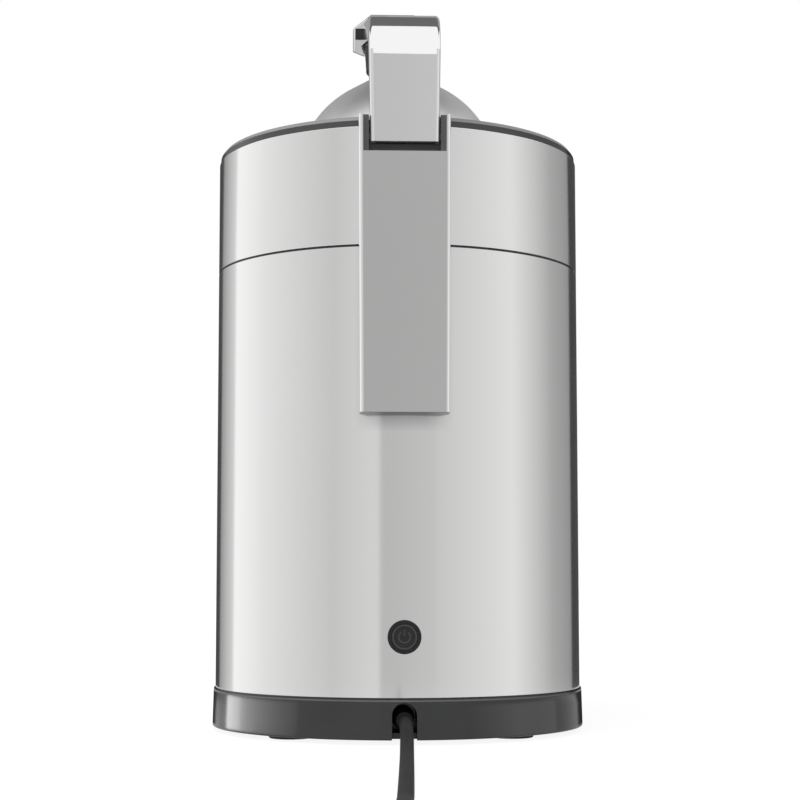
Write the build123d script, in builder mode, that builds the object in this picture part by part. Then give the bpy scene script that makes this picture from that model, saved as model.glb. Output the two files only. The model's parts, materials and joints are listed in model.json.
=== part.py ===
from build123d import *
import os
from math import acos, atan2, cos, degrees, pi, radians, sin, sqrt, tan

# Electric citrus juicer with a lever press. The rear with the lever hinge is at -Y, the spout at +Y.
# All sizes are millimetres. Pieces are drawn about the body's axis, with the worktop at zero height.

# Clearances
slide_gap = 0.35  # between bodies that pass each other
run_gap = 0.05  # radial play of a pin or shaft in its bearing
seat_gap = 0.02  # between round pieces that lie on each other
lift_gap = 0.5  # play round what lifts off for washing

# Outer body
body_radius = 87.5
sheet = 1.0  # wall of the steel tubes
foot_height = 2.4
foot_radius = 10.0
foot_stem_radius = 2.5
foot_x = body_radius / 1.75
foot_y = body_radius / 1.716
plinth_height = 18.2
plinth_proud = 0.8  # the plinth's top edge stands out from the steel
plinth_splay = 0.5  # and its bottom edge a little more
plinth_wall = 3.0
plinth_edge = 0.7
plinth_lift = 2.0  # the plinth's lower edge above the worktop
spigot_height = 4.0
spigot_wall = 3.0
cover_thickness = 2.5
boss_radius = 4.5
screw_radius = 1.5
screw_head_radius = 2.9
screw_head = 1.6
corner_turn = 45  # where the first of four screws stands
vents = 5
vent_length = 26.0
vent_width = 3.0
vent_pitch = 9.0
housing_height = 198.3
seam_gap = 1.0
band_height = 53.5
rim_height = 4.7
rim_inset = 0.6
rim_width = 4.4
rim_skirt = 4.0
rim_face = 2.7  # upright part of the rim, below its slanted top
rim_slant = 1.5

# Deck, bowl and strainer
deck_floor = 3.0
deck_drop = 2.0  # deck floor below the band
deck_ring = 14.5
deck_ring_wall = 3.0
deck_tube_wall = 2.0
deck_tube_drop = 17.0  # deck tube's top below the chimney's
bowl_wall = 2.5
bowl_floor = 2.5
bowl_lift = 2.5  # bowl floor above the foot of its wall
bowl_fall = 4.5  # how far the bowl floor drops from its chimney to its wall
chimney_wall = 2.0
chimney_drop = 1.5  # chimney's top below the strainer ledge
ledge_drop = 17.0  # strainer ledge below the rim
ledge_width = 3.0
ledge_height = 2.5
strainer_sheet = 1.2
strainer_fall = 4.0
strainer_collar = 4.0
inner_slots = 18
outer_slots = 28
slot_width = 2.2
slot_inset = 2.5  # from the cone's flange to the inner slots
slot_outset = 6.0  # from the outer slots to the ledge
slot_bridge = 4.5  # plain ring between the two rows of slots
inner_slot_share = 0.53  # of the slotted width

# Reamer and drive
cone_radius = 34.0
cone_height = 48.0
cone_tip_radius = 3.0
cone_bulge = 3.0
cone_skirt = 3.0
cone_hollow_radius = 24.0
cone_hollow_height = 28.0
cone_hub_radius = 7.5
cone_lift = 2.0  # cone's edge above the strainer ledge's level
flutes = 10
flute_share = 0.26  # flute radius as a share of the cone's radius
flute_stand_off = 1.13
flute_extent = 0.8  # how much of the way to the tip the flutes reach
cone_flange_radius = 36.0
cone_flange = 2.5
flange_edge = 0.7
hex_flats = 8.0
hex_length = 24.0
shaft_radius = 5.0
press_travel = 2.0
bush_wall = 2.0
bush_length = 8.0
gear_module = body_radius / 43.75
drive_teeth = 32
idler_pinion_teeth = 12
motor_module = 0.75 * gear_module
idler_teeth = 40
motor_teeth = 10
pressure_angle = radians(20)
backlash = 0.45
addendum_share = 0.8
dedendum_share = 1.15
gear_face = 10.0
gear_hub_radius = 9.0
gear_drop = 14.0  # drive gear's top face below the deck floor
gear_step = 4.0  # axial room between the two gear stages
motor_turn = radians(126.87)  # direction from the idler to the motor
axle_radius = 3.0
axle_collar = 1.5
motor_shaft_radius = 2.5
motor_shaft_seat = 20.0
motor_gap = 1.25  # motor beside the spring well
motor_length = 62.0
motor_cap = 8.0
motor_neck = 8.0
motor_wall = 1.5
motor_lid = 3.0
rotor_radius = 13.0
rotor_length = 34.0
rotor_lift = 14.0  # rotor above the motor's cap
commutator_radius = 7.0
commutator_length = 9.0
magnet_gap = 0.8
magnet_split = 9.0
plate_thickness = 3.0
plate_x = body_radius / 0.875
plate_y = 1.28 * plate_x
plate_corner = 10.0
post_radius = 5.0
post_x = 0.84 * plate_x
post_y = 0.875 * plate_y
plate_drop = 46.5  # gear plate's top below the deck floor's underside
cup_radius = 9.5
cup_thickness = 4.0
cup_stem_radius = 2.0
cup_stem = 26.0
spring_wire = 1.4
spring_radius = 6.5
spring_turns = 5
spring_well_wall = 1.8
spring_well_floor = 2.0
switch_arm = 14.0
micro_switch_x = 20.0
micro_switch_y = 6.5
micro_switch_z = 10.0
plunger_radius = 1.5
plunger_height = 2.0

# Spout
outlet_radius = 7.3
outlet_wall = 1.7
outlet_lift = 12.5  # outlet axis above the band's lower edge
outlet_flange = 11.0
outlet_reach = 8.5
ear_thickness = 2.5
ear_radius = 4.5
spout_half = 11.5
spout_wall = 1.5
spout_pivot_reach = 4.0  # pivot in front of the outlet's end
spout_pivot_drop = 6.0
trunnion_radius = 1.8
spout_slope = radians(15)
spout_floor_drop = 4.35  # floor below the pivot, square to the floor
spout_length = 30.0
spout_tail = 2.5
spout_side = 14.0
spout_lip = 8.0

# Spine and hinge
spine_reach = 8.0  # spine's face behind the steel
spine_drop = 74.7  # spine's foot below the seam
spine_plate_drop = 13.7  # its rear plate's top below the rim
spine_rise = 3.0  # its flanges' tops above the rim
spine_half = 19.65  # at the foot
spine_spread = 0.006  # growth of the half width for each mm up
spine_wall = 2.0
spine_edge = 1.8
hinge_pin_radius = 1.5
hinge_pin_drop = 6.5  # pin axis below the rim
hinge_pin_reach = 3.5  # pin axis behind the steel
hinge_floor_drop = 14.0  # floor of the recess under the lever, below the rim
hinge_foot = 6.0  # foot of the hinge block above the spine's foot
spine_screw_rises = (21.2, 56.2)  # above the spine's foot

# Lever
lever_foot_drop = 9.4  # lever's foot below the rim
lever_half = 15.25  # at the foot
lever_spread = 0.0158
lever_clear = 15.9  # half width between the hinge cheeks
lever_wall = 2.0
lever_depth = 11.0
lever_edge = 2.0
stem_depth = 7.0  # the lever's depth beside the collector
stem_rise = 8.0  # above the rim, where the full depth begins
stem_slant = 5.0
arm_over_pivot = 21.1  # arm's upper face above the dome's pivot
bend_radius = 24.8
arm_rise = radians(16.5)
arm_length = 184.0
grip_seat = 19.5  # length of the arm inside the grip
grip_length = 37.0
grip_half = 21.3
grip_crown = 11.7
grip_bevel = 7.4
grip_depth = 22.0
grip_rise = 5.5  # the grip's top above the arm's
grip_chin = 5.8
grip_chin_depth = 2.3
grip_edge = 0.8
insert_half = 20.25
insert_length = 6.5
insert_high = 2.1
insert_low = 7.9

# Press dome
dome_radius = 50.2
dome_centre_drop = 5.3  # ball's centre below the rim
dome_edge_drop = 11.0  # open edge below the rim
dome_slope = radians(31)
dome_rise = 46.0  # flat top above the rim
dome_sheet = 1.0
liner_thickness = 2.2
liner_ribs = 8
liner_rib_height = 1.8
liner_rib_width = 2.4
liner_rib_low = 8.0
liner_rib_high = 40.0
stem_radius = 7.0
eye_radius = 5.0
eye_half = 3.7
dome_pivot_rise = 55.0  # above the rim
dome_pin_radius = 2.0
holder_radius = 16.4
holder_draft = 0.8
holder_gap = 2.0  # between the holder and the dome's flat top
holder_edge = 1.5
holder_slot = 8.0
holder_shoulder = 13.4  # height of the holder's wide part
holder_neck = 13.0

# Power switch
switch_z = 46.4
bezel_radius = 7.4
bezel_proud = 1.1
collar_radius = 6.2
collar_bore = 5.7
collar_depth = 6.0
button_radius = 5.6
button_proud = 0.9
button_dish = 0.4
button_rim = 1.0
button_travel = 1.5
button_depth = 3.2
button_stem_radius = 2.0
switch_body_x = 14.0
switch_body_y = 18.0
switch_body_z = 16.0

# Cord and plug
cord_radius = 2.8
notch_half = 5.45
notch_top = 18.1
pocket_wall = 2.0
pocket_depth = 24.0
gland_z = 10.4
gland_flange = 5.2
gland_flange_thickness = 2.0
gland_root = 5.0
gland_tip = 3.6
gland_length = 22.0
gland_neck = 3.5
coil_radius = 36.3
coil_gap = 0.5
coil_rounds = 4  # half turns of the lower layer
tie_thickness = 0.8
tie_width = 8.0
tie_gap = 0.25
tie_side_gap = 0.6
tie_corner = 2.0
tail_runs = (14.0, 16.0, 8.0)
coil_x = -20.0
coil_y = -400.0
corner_share = 0.45  # of a cord's shorter run that its bend takes up
plug_width = 35.0
plug_thickness = 13.7
plug_neck_width = 11.0
plug_neck_thickness = 9.0
plug_taper = 18.0
plug_length = 34.0
plug_corner = 4.0
plug_edge = 1.5
pin_radius = 2.0
pin_length = 19.0
pin_spacing = 19.0

# Heights and radii that follow from these
plinth_top = plinth_lift + plinth_height
seam_z = plinth_top + housing_height
band_z = seam_z + seam_gap
rim_z = band_z + band_height
inner_radius = body_radius - sheet
cover_top = foot_height + cover_thickness
deck_z = band_z - deck_drop
deck_under = deck_z - deck_floor
tube_radius = shaft_radius + run_gap + bush_wall + deck_tube_wall
chimney_radius = tube_radius + lift_gap + chimney_wall
bowl_inner = inner_radius - bowl_wall
ledge_z = rim_z - ledge_drop
ledge_inner = bowl_inner - ledge_width
strainer_radius = bowl_inner - lift_gap
collar_inner = chimney_radius + lift_gap
chimney_top = ledge_z - chimney_drop
tube_top = chimney_top - deck_tube_drop
slot_span = ledge_inner - slot_outset - cone_flange_radius - slot_inset - slot_bridge
inner_slot_length = slot_span * inner_slot_share
outer_slot_length = slot_span - inner_slot_length
inner_slot_radius = cone_flange_radius + slot_inset + inner_slot_length / 2
outer_slot_radius = ledge_inner - slot_outset - outer_slot_length / 2
cone_z = ledge_z + cone_lift
plate_top = deck_under - plate_drop
plate_under = plate_top - plate_thickness
drive_gear_top = deck_under - gear_drop
drive_gear_low = drive_gear_top - gear_face
idler_top = drive_gear_low - gear_step
idler_low = idler_top - gear_face
drive_centres = gear_module * (drive_teeth + idler_pinion_teeth) / 2
motor_centres = motor_module * (idler_teeth + motor_teeth) / 2
motor_x = drive_centres + motor_centres * cos(motor_turn)
motor_y = motor_centres * sin(motor_turn)
shaft_low = plate_under - bush_length / 2
well_low = shaft_low - cup_thickness - press_travel - 2 * spring_turns * spring_wire
well_inner = cup_radius + slide_gap
well_outer = well_inner + spring_well_wall
motor_radius = sqrt(motor_x**2 + motor_y**2) - well_outer - motor_gap
spine_y = -body_radius - spine_reach
spine_low = seam_z - spine_drop
spine_high = rim_z - spine_plate_drop
spine_top = rim_z + spine_rise
spine_screw_z = [spine_low + rise for rise in spine_screw_rises]
hinge_pin_z = rim_z - hinge_pin_drop
hinge_floor = rim_z - hinge_floor_drop
lever_foot = rim_z - lever_foot_drop
stem_z = rim_z + stem_rise
dome_centre = rim_z - dome_centre_drop
dome_low = rim_z - dome_edge_drop
dome_top = rim_z + dome_rise
dome_pivot_z = rim_z + dome_pivot_rise
holder_low = dome_top + holder_gap
hinge_y = -body_radius - hinge_pin_reach
arm_direction = (0, cos(arm_rise), sin(arm_rise))
bend_turn = pi / 2 - arm_rise
arm_start_y = spine_y + bend_radius - bend_radius * cos(bend_turn)
arm_start = (0, arm_start_y, dome_pivot_z + arm_over_pivot + arm_start_y * tan(arm_rise))
bend_z = arm_start[2] - bend_radius * sin(bend_turn)
arm_plane = Plane(origin=arm_start, x_dir=(1, 0, 0), z_dir=(0, -sin(arm_rise), cos(arm_rise)))
grip_origin = Vector(*arm_start) + Vector(*arm_direction) * (arm_length - grip_seat)
grip_plane = Plane(origin=grip_origin, x_dir=(1, 0, 0), z_dir=arm_direction)
lever_top = arm_start[2] + (arm_length + grip_length) * sin(arm_rise) + grip_rise
outlet_z = band_z + outlet_lift
outlet_end = body_radius + outlet_reach
spout_y = outlet_end + spout_pivot_reach
spout_z = outlet_z - spout_pivot_drop
spout_plane = Plane(
    origin=(0, spout_y, spout_z),
    x_dir=(0, cos(spout_slope), -sin(spout_slope)),
    z_dir=(1, 0, 0),
)
pocket_back = -body_radius + pocket_depth
gland_face = pocket_back - gland_flange_thickness
gland_end = gland_face - gland_length
button_face = -body_radius - button_proud
stand = Align.CENTER, Align.CENTER, Align.MIN
hang = Align.CENTER, Align.CENTER, Align.MAX

made = {}


def save(piece, name):
    """Keeps a finished piece under its name."""
    made[name] = piece.part


def tapered(low, high, half, spread, foot, inset):
    """Corners of an upright strip whose half width grows with height."""
    below = half + spread * (low - foot) - inset
    above = half + spread * (high - foot) - inset
    return (-below, low), (below, low), (above, high), (-above, high)


def tooth(module, teeth):
    """Corners of one gear tooth on the X axis, on involute flanks."""
    pitch = module * teeth / 2
    base = pitch * cos(pressure_angle)
    half_turn = pi / (2 * teeth) - backlash / (2 * pitch)
    tip = pitch + addendum_share * module
    root = pitch - dedendum_share * module
    corners = []
    for radius in sorted({root - module / 4, root, max(base, root), pitch, tip}):
        slip = acos(min(1, base / radius))
        turn = half_turn + tan(pressure_angle) - pressure_angle - tan(slip) + slip
        corners.append((radius * cos(turn), radius * sin(turn)))
    return corners + [(x, -y) for x, y in reversed(corners)]


def root_radius(module, teeth):
    """Radius at the bottom of a gear's tooth gaps."""
    return module * teeth / 2 - dedendum_share * module


def half_turn(start, finish, heading):
    """Half circle from start to finish that leaves start along heading."""
    middle = (start + finish) / 2 + heading * ((finish - start).length / 2)
    return ThreePointArc(start, middle, finish)


def lever_edge_line(depth, foot, length):
    """Points down the side of the lever at a depth under its outer face, from its foot to its front."""
    radius = bend_radius - depth
    middle = pi - bend_turn / 2
    leave = (
        spine_y + bend_radius + radius * cos(pi - bend_turn),
        bend_z + radius * sin(pi - bend_turn),
    )
    return (
        (spine_y + depth, foot),
        (spine_y + depth, bend_z),
        (spine_y + bend_radius + radius * cos(middle), bend_z + radius * sin(middle)),
        leave,
        (leave[0] + length * cos(arm_rise), leave[1] + length * sin(arm_rise)),
    )


def lever_side(near, far, foot, length):
    """Draws the closed side outline of the lever between two depths."""
    outer = lever_edge_line(near, foot, length)
    inner = lever_edge_line(far, foot, length)
    Line(outer[0], outer[1])
    ThreePointArc(outer[1], outer[2], outer[3])
    Line(outer[3], outer[4])
    Line(outer[4], inner[4])
    Line(inner[4], inner[3])
    ThreePointArc(inner[3], inner[2], inner[1])
    Line(inner[1], inner[0])
    Line(inner[0], outer[0])


def dome_side(inset):
    """Draws the closed half outline of the dome's solid, pulled in from its outer face."""
    ball = dome_radius - inset
    high = dome_top - inset
    low = dome_low - dome_centre
    foot = (sqrt(ball**2 - low**2), dome_low)
    side = (ball * sin(dome_slope), dome_centre + ball * cos(dome_slope))
    boss = (side[0] - (high - side[1]) / tan(dome_slope), high)
    middle = (pi / 2 - dome_slope + atan2(low, foot[0])) / 2
    ThreePointArc(foot, (ball * cos(middle), dome_centre + ball * sin(middle)), side)
    Polyline(side, boss, (0, high), (0, dome_low), foot)


# Base plinth: the dark moulded ring that the steel tube stands in, with the cord's arch at the rear
plinth_foot_radius = body_radius + plinth_proud + plinth_splay
plinth_inner = body_radius + plinth_proud - plinth_wall
arch_z = notch_top - notch_half
with BuildPart() as base_plinth:
    with BuildSketch(Plane.XZ):
        with BuildLine():
            Polyline(
                (plinth_foot_radius, plinth_lift),
                (body_radius + plinth_proud, plinth_top),
                (inner_radius, plinth_top),
                (inner_radius, plinth_top + spigot_height),
                (inner_radius - spigot_wall, plinth_top + spigot_height),
                (inner_radius - spigot_wall, plinth_top - plinth_wall),
                (plinth_inner, plinth_top - plinth_wall),
                (plinth_inner, plinth_lift),
                close=True,
            )
        make_face()
    revolve(axis=Axis.Z)
    outer_edges = base_plinth.edges().filter_by(GeomType.CIRCLE).sort_by(SortBy.RADIUS)[-2:]
    fillet(outer_edges, plinth_edge)
    boss_ring = inner_radius - boss_radius - sheet / 2
    with BuildSketch(Plane.XY.offset(cover_top)):
        with PolarLocations(boss_ring, 4, start_angle=corner_turn):
            Circle(boss_radius)
    extrude(amount=plinth_top - cover_top)
    with BuildSketch(Plane.XZ.offset(-pocket_back - pocket_wall)):
        with Locations((0, arch_z)):
            Circle(notch_half + pocket_wall)
        with Locations((0, cover_top)):
            Rectangle(2 * (notch_half + pocket_wall), arch_z - cover_top, align=(Align.CENTER, Align.MIN))
            Rectangle(
                4 * notch_half, cover_top, align=(Align.CENTER, Align.MAX), mode=Mode.SUBTRACT
            )
    extrude(amount=body_radius + pocket_back + pocket_wall)
    with BuildSketch(Plane.XZ.offset(-pocket_back)):
        with Locations((0, arch_z)):
            Circle(notch_half)
        Rectangle(2 * notch_half, arch_z, align=(Align.CENTER, Align.MIN))
    extrude(amount=body_radius + pocket_back + plinth_wall, mode=Mode.SUBTRACT)
    with BuildSketch(Plane.XZ.offset(-pocket_back - pocket_wall)):
        with Locations((0, gland_z)):
            Circle(gland_neck)
    extrude(amount=pocket_wall, mode=Mode.SUBTRACT)
    with BuildSketch(Plane.XY.offset(cover_top)):
        with PolarLocations(boss_ring, 4, start_angle=corner_turn):
            Circle(screw_radius + run_gap)
    extrude(amount=plinth_top - plinth_wall - cover_top, mode=Mode.SUBTRACT)
save(base_plinth, "base_plinth")

# Bottom cover: closes the base and carries the feet
cover_radius = plinth_inner - slide_gap
with BuildPart() as bottom_cover:
    with BuildSketch(Plane.XY.offset(foot_height)):
        Circle(cover_radius)
        with Locations((foot_x, foot_y), (-foot_x, foot_y), (foot_x, -foot_y), (-foot_x, -foot_y)):
            Circle(foot_stem_radius + run_gap, mode=Mode.SUBTRACT)
        with PolarLocations(boss_ring, 4, start_angle=corner_turn):
            Circle(screw_radius + run_gap, mode=Mode.SUBTRACT)
        with GridLocations(vent_pitch, 0, vents, 1):
            SlotOverall(vent_length, vent_width, rotation=90, mode=Mode.SUBTRACT)
    extrude(amount=cover_thickness)
    with BuildSketch(Plane.XY.offset(foot_height)):
        with PolarLocations(boss_ring, 4, start_angle=corner_turn):
            Circle(screw_head_radius + run_gap)
    extrude(amount=screw_head, mode=Mode.SUBTRACT)
save(bottom_cover, "bottom_cover")

with BuildPart() as cover_screws:
    with BuildSketch(Plane.XY.offset(foot_height)):
        with PolarLocations(boss_ring, 4, start_angle=corner_turn):
            Circle(screw_head_radius)
    extrude(amount=screw_head)
    with BuildSketch(Plane.XY.offset(foot_height + screw_head)):
        with PolarLocations(boss_ring, 4, start_angle=corner_turn):
            Circle(screw_radius)
    extrude(amount=plinth_top - plinth_wall - foot_height - screw_head - slide_gap)
save(cover_screws, "cover_screws")

# Rubber feet, one at each corner, with a stem pushed into the cover
foot_places = {
    "rear_left": (-foot_x, -foot_y),
    "rear_right": (foot_x, -foot_y),
    "front_left": (-foot_x, foot_y),
    "front_right": (foot_x, foot_y),
}
for corner, (x, y) in foot_places.items():
    with BuildPart() as foot:
        with Locations((x, y, 0)):
            Cylinder(foot_radius, foot_height, align=stand)
        fillet(foot.edges().sort_by(Axis.Z)[0], foot_height / 3)
        with Locations((x, y, foot_height)):
            Cylinder(foot_stem_radius, cover_thickness, align=stand)
    save(foot, f"foot_{corner}")

# Housing shell: the satin steel tube, holed for the switch and the spine's screws
with BuildPart() as housing_shell:
    with BuildSketch(Plane.XY.offset(plinth_top)):
        Circle(body_radius)
        Circle(inner_radius, mode=Mode.SUBTRACT)
    extrude(amount=housing_height)
    with BuildSketch(Plane.XZ.offset(body_radius / 2)):
        with Locations((0, switch_z)):
            Circle(collar_radius + run_gap)
        with Locations(*[(0, z) for z in spine_screw_z]):
            Circle(screw_radius + run_gap)
    extrude(amount=body_radius, mode=Mode.SUBTRACT)
save(housing_shell, "housing_shell")

# Deck: closes the steel tube, seats the bowl, and hangs the gear train on four posts
with BuildPart() as deck:
    with BuildSketch(Plane.XZ):
        with BuildLine():
            Polyline(
                (tube_radius - deck_tube_wall, deck_under),
                (inner_radius - deck_ring_wall, deck_under),
                (inner_radius - deck_ring_wall, band_z - deck_ring),
                (inner_radius, band_z - deck_ring),
                (inner_radius, band_z),
                (inner_radius - deck_ring_wall, band_z),
                (inner_radius - deck_ring_wall, deck_z),
                (tube_radius, deck_z),
                (tube_radius, tube_top),
                (tube_radius - deck_tube_wall, tube_top),
                close=True,
            )
        make_face()
    revolve(axis=Axis.Z)
    with BuildSketch(Plane.XY.offset(plate_top)):
        with GridLocations(post_x, post_y, 2, 2):
            Circle(post_radius)
    extrude(amount=plate_drop)
    with BuildSketch(Plane.XY.offset(plate_top)):
        with GridLocations(post_x, post_y, 2, 2):
            Circle(screw_radius + run_gap)
    extrude(amount=plate_drop / 2, mode=Mode.SUBTRACT)
    with Locations((drive_centres, 0, deck_under)):
        Cylinder(axle_radius, deck_floor / 2, align=stand, mode=Mode.SUBTRACT)
save(deck, "deck")

# Gear plate: carries the motor, the idler axle and the lower shaft bearing under the deck
with BuildPart() as gear_plate:
    with BuildSketch(Plane.XY.offset(plate_under)):
        RectangleRounded(plate_x, plate_y, plate_corner)
        Circle(shaft_radius + run_gap + bush_wall, mode=Mode.SUBTRACT)
        with Locations((drive_centres, 0)):
            Circle(axle_radius, mode=Mode.SUBTRACT)
        with Locations((motor_x, motor_y)):
            Circle(motor_neck, mode=Mode.SUBTRACT)
        with GridLocations(post_x, post_y, 2, 2):
            Circle(screw_radius + run_gap, mode=Mode.SUBTRACT)
    extrude(amount=plate_thickness)
save(gear_plate, "gear_plate")

with BuildPart() as plate_screws:
    with BuildSketch(Plane.XY.offset(plate_under - screw_head)):
        with GridLocations(post_x, post_y, 2, 2):
            Circle(screw_head_radius)
    extrude(amount=screw_head)
    with BuildSketch(Plane.XY.offset(plate_under)):
        with GridLocations(post_x, post_y, 2, 2):
            Circle(screw_radius)
    extrude(amount=plate_thickness + plate_drop / 2 - slide_gap)
save(plate_screws, "plate_screws")

# Shaft bushes: one in the deck's tube, one in the gear plate
bush_places = {
    "upper_bush": tube_top - bush_length,
    "lower_bush": plate_under + plate_thickness / 2 - bush_length / 2,
}
for name, z in bush_places.items():
    with BuildPart() as bush:
        with BuildSketch(Plane.XY.offset(z)):
            Circle(shaft_radius + run_gap + bush_wall)
            Circle(shaft_radius + run_gap, mode=Mode.SUBTRACT)
        extrude(amount=bush_length)
    save(bush, name)

# Drive shaft: round through its bearings, six-sided where the cone sits
shaft_high = cone_z + cone_skirt
with BuildPart() as drive_shaft:
    with Locations((0, 0, shaft_low)):
        Cylinder(shaft_radius, shaft_high - shaft_low, align=stand)
    with BuildSketch(Plane.XY.offset(shaft_high)):
        RegularPolygon(hex_flats / 2, 6, major_radius=False)
    extrude(amount=hex_length)
    chamfer(drive_shaft.faces().sort_by(Axis.Z)[-1].edges(), sheet / 2)
save(drive_shaft, "drive_shaft")

# Drive gear, fixed on the shaft
with BuildPart() as drive_gear:
    with BuildSketch(Plane.XY.offset(drive_gear_low)):
        Circle(root_radius(gear_module, drive_teeth))
        with PolarLocations(0, drive_teeth):
            Polygon(*tooth(gear_module, drive_teeth), align=None)
    extrude(amount=gear_face)
    with Locations((0, 0, drive_gear_top)):
        Cylinder(gear_hub_radius, gear_face / 2, align=stand)
    with Locations((0, 0, drive_gear_low)):
        Cylinder(shaft_radius, 2 * gear_face, align=stand, mode=Mode.SUBTRACT)
    with BuildSketch(Plane.XY.offset(drive_gear_low)):
        with PolarLocations((gear_hub_radius + root_radius(gear_module, drive_teeth)) / 2, 6):
            Circle(gear_hub_radius / 2)
    extrude(amount=gear_face, mode=Mode.SUBTRACT)
save(drive_gear, "drive_gear")

# Idler gear: the large wheel takes the motor's pinion, the long small one turns the drive gear
pinion_phase = 180 / idler_pinion_teeth
with BuildPart() as idler_gear:
    with BuildSketch(Plane((drive_centres, 0, idler_low))):
        Circle(root_radius(motor_module, idler_teeth))
        with PolarLocations(0, idler_teeth, start_angle=degrees(motor_turn)):
            Polygon(*tooth(motor_module, idler_teeth), align=None)
    extrude(amount=gear_face)
    with BuildSketch(Plane((drive_centres, 0, idler_top))):
        Circle(root_radius(gear_module, idler_pinion_teeth))
        with PolarLocations(0, idler_pinion_teeth, start_angle=pinion_phase):
            Polygon(*tooth(gear_module, idler_pinion_teeth), align=None)
    extrude(amount=drive_gear_top - idler_top + gear_step / 2)
    with Locations((drive_centres, 0, idler_low)):
        Cylinder(axle_radius + run_gap, plate_drop, align=stand, mode=Mode.SUBTRACT)
save(idler_gear, "idler_gear")

# Idler axle with the collars that hold the idler at its height
with BuildPart() as idler_axle:
    with Locations((drive_centres, 0, plate_under)):
        Cylinder(axle_radius, deck_under + deck_floor / 2 - plate_under, align=stand)
    with Locations((drive_centres, 0, plate_top)):
        Cylinder(axle_radius + axle_collar, idler_low - plate_top - run_gap, align=stand)
    with Locations((drive_centres, 0, deck_under)):
        Cylinder(
            axle_radius + axle_collar,
            deck_under - drive_gear_top - gear_step / 2 - run_gap,
            align=hang,
        )
save(idler_axle, "idler_axle")

# Motor: steel can with a neck in the gear plate and a moulded cap below
motor_low = plate_under - motor_length
with BuildPart() as motor_can:
    with Locations((motor_x, motor_y, motor_low)):
        Cylinder(motor_radius, motor_length, align=stand)
    fillet(motor_can.edges().sort_by(Axis.Z)[-1], sheet)
    with Locations((motor_x, motor_y, plate_under)):
        Cylinder(motor_neck, plate_thickness, align=stand)
    with Locations((motor_x, motor_y, plate_top - motor_shaft_seat)):
        Cylinder(motor_shaft_radius + run_gap, motor_shaft_seat, align=stand, mode=Mode.SUBTRACT)
    with Locations((motor_x, motor_y, motor_low)):
        Cylinder(motor_radius - motor_wall, motor_length - motor_lid, align=stand, mode=Mode.SUBTRACT)
save(motor_can, "motor_can")

# Motor magnets: two curved blocks on the can's wall
rotor_z = motor_low + rotor_lift
with BuildPart() as motor_magnets:
    with BuildSketch(Plane((motor_x, motor_y, rotor_z))):
        Circle(motor_radius - motor_wall - seat_gap)
        Circle(rotor_radius + magnet_gap, mode=Mode.SUBTRACT)
        Rectangle(2 * motor_radius, magnet_split, mode=Mode.SUBTRACT)
    extrude(amount=rotor_length)
save(motor_magnets, "motor_magnets")

with BuildPart() as motor_end_cap:
    with Locations((motor_x, motor_y, motor_low)):
        Cylinder(motor_radius - sheet, motor_cap, align=hang)
    fillet(motor_end_cap.edges().sort_by(Axis.Z)[0], motor_cap / 4)
    with Locations((motor_x, motor_y, motor_low - motor_cap)):
        Cylinder(motor_neck, motor_cap / 2, align=hang)
    with Locations((motor_x, motor_y, motor_low)):
        Cylinder(motor_shaft_radius + run_gap, motor_cap / 2, align=hang, mode=Mode.SUBTRACT)
save(motor_end_cap, "motor_end_cap")

# Motor shaft with its rotor and commutator, and the pinion on it
motor_pinion_phase = degrees(motor_turn) + 180 + 180 / motor_teeth
shaft_foot = motor_low - motor_cap / 2 + slide_gap
with BuildPart() as motor_shaft:
    with Locations((motor_x, motor_y, shaft_foot)):
        Cylinder(motor_shaft_radius, idler_top - shaft_foot, align=stand)
    with Locations((motor_x, motor_y, rotor_z)):
        Cylinder(rotor_radius, rotor_length, align=stand)
        Cylinder(commutator_radius, commutator_length, align=hang)
save(motor_shaft, "motor_shaft")

with BuildPart() as motor_pinion:
    with BuildSketch(Plane((motor_x, motor_y, idler_low))):
        Circle(root_radius(motor_module, motor_teeth))
        with PolarLocations(0, motor_teeth, start_angle=motor_pinion_phase):
            Polygon(*tooth(motor_module, motor_teeth), align=None)
        Circle(motor_shaft_radius, mode=Mode.SUBTRACT)
    extrude(amount=gear_face)
save(motor_pinion, "motor_pinion")

# Thrust cup: carries the shaft, slides in the spring well and works the micro switch
cup_low = shaft_low - cup_thickness
with BuildPart() as thrust_cup:
    with Locations((0, 0, cup_low)):
        Cylinder(cup_radius, cup_thickness, align=stand)
    with Locations((0, 0, cup_low)):
        Cylinder(cup_stem_radius, cup_stem, align=hang)
save(thrust_cup, "thrust_cup")

# Spring well: hangs under the gear plate, with an arm for the micro switch
well_floor = well_low + spring_well_floor
arm_y = micro_switch_y / 2
switch_top = cup_low - cup_stem - press_travel - plunger_height - slide_gap
with BuildPart() as spring_well:
    with BuildSketch(Plane.XY.offset(well_low)):
        Circle(well_outer)
    extrude(amount=plate_under - well_low)
    with Locations((0, 0, well_floor)):
        Cylinder(well_inner, plate_under - well_floor, align=stand, mode=Mode.SUBTRACT)
    with Locations((0, 0, well_low)):
        Cylinder(cup_stem_radius + run_gap, spring_well_floor, align=stand, mode=Mode.SUBTRACT)
    with BuildSketch(Plane.XY.offset(well_low)):
        with Locations((0, arm_y)):
            Rectangle(switch_arm, spring_well_wall, align=(Align.CENTER, Align.MIN))
    extrude(amount=switch_top - micro_switch_z - well_low)
save(spring_well, "spring_well")

with BuildPart() as micro_switch:
    with Locations((0, 0, switch_top)):
        Box(micro_switch_x, micro_switch_y, micro_switch_z, align=hang)
        Cylinder(plunger_radius, plunger_height, align=stand)
save(micro_switch, "micro_switch")

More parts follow.
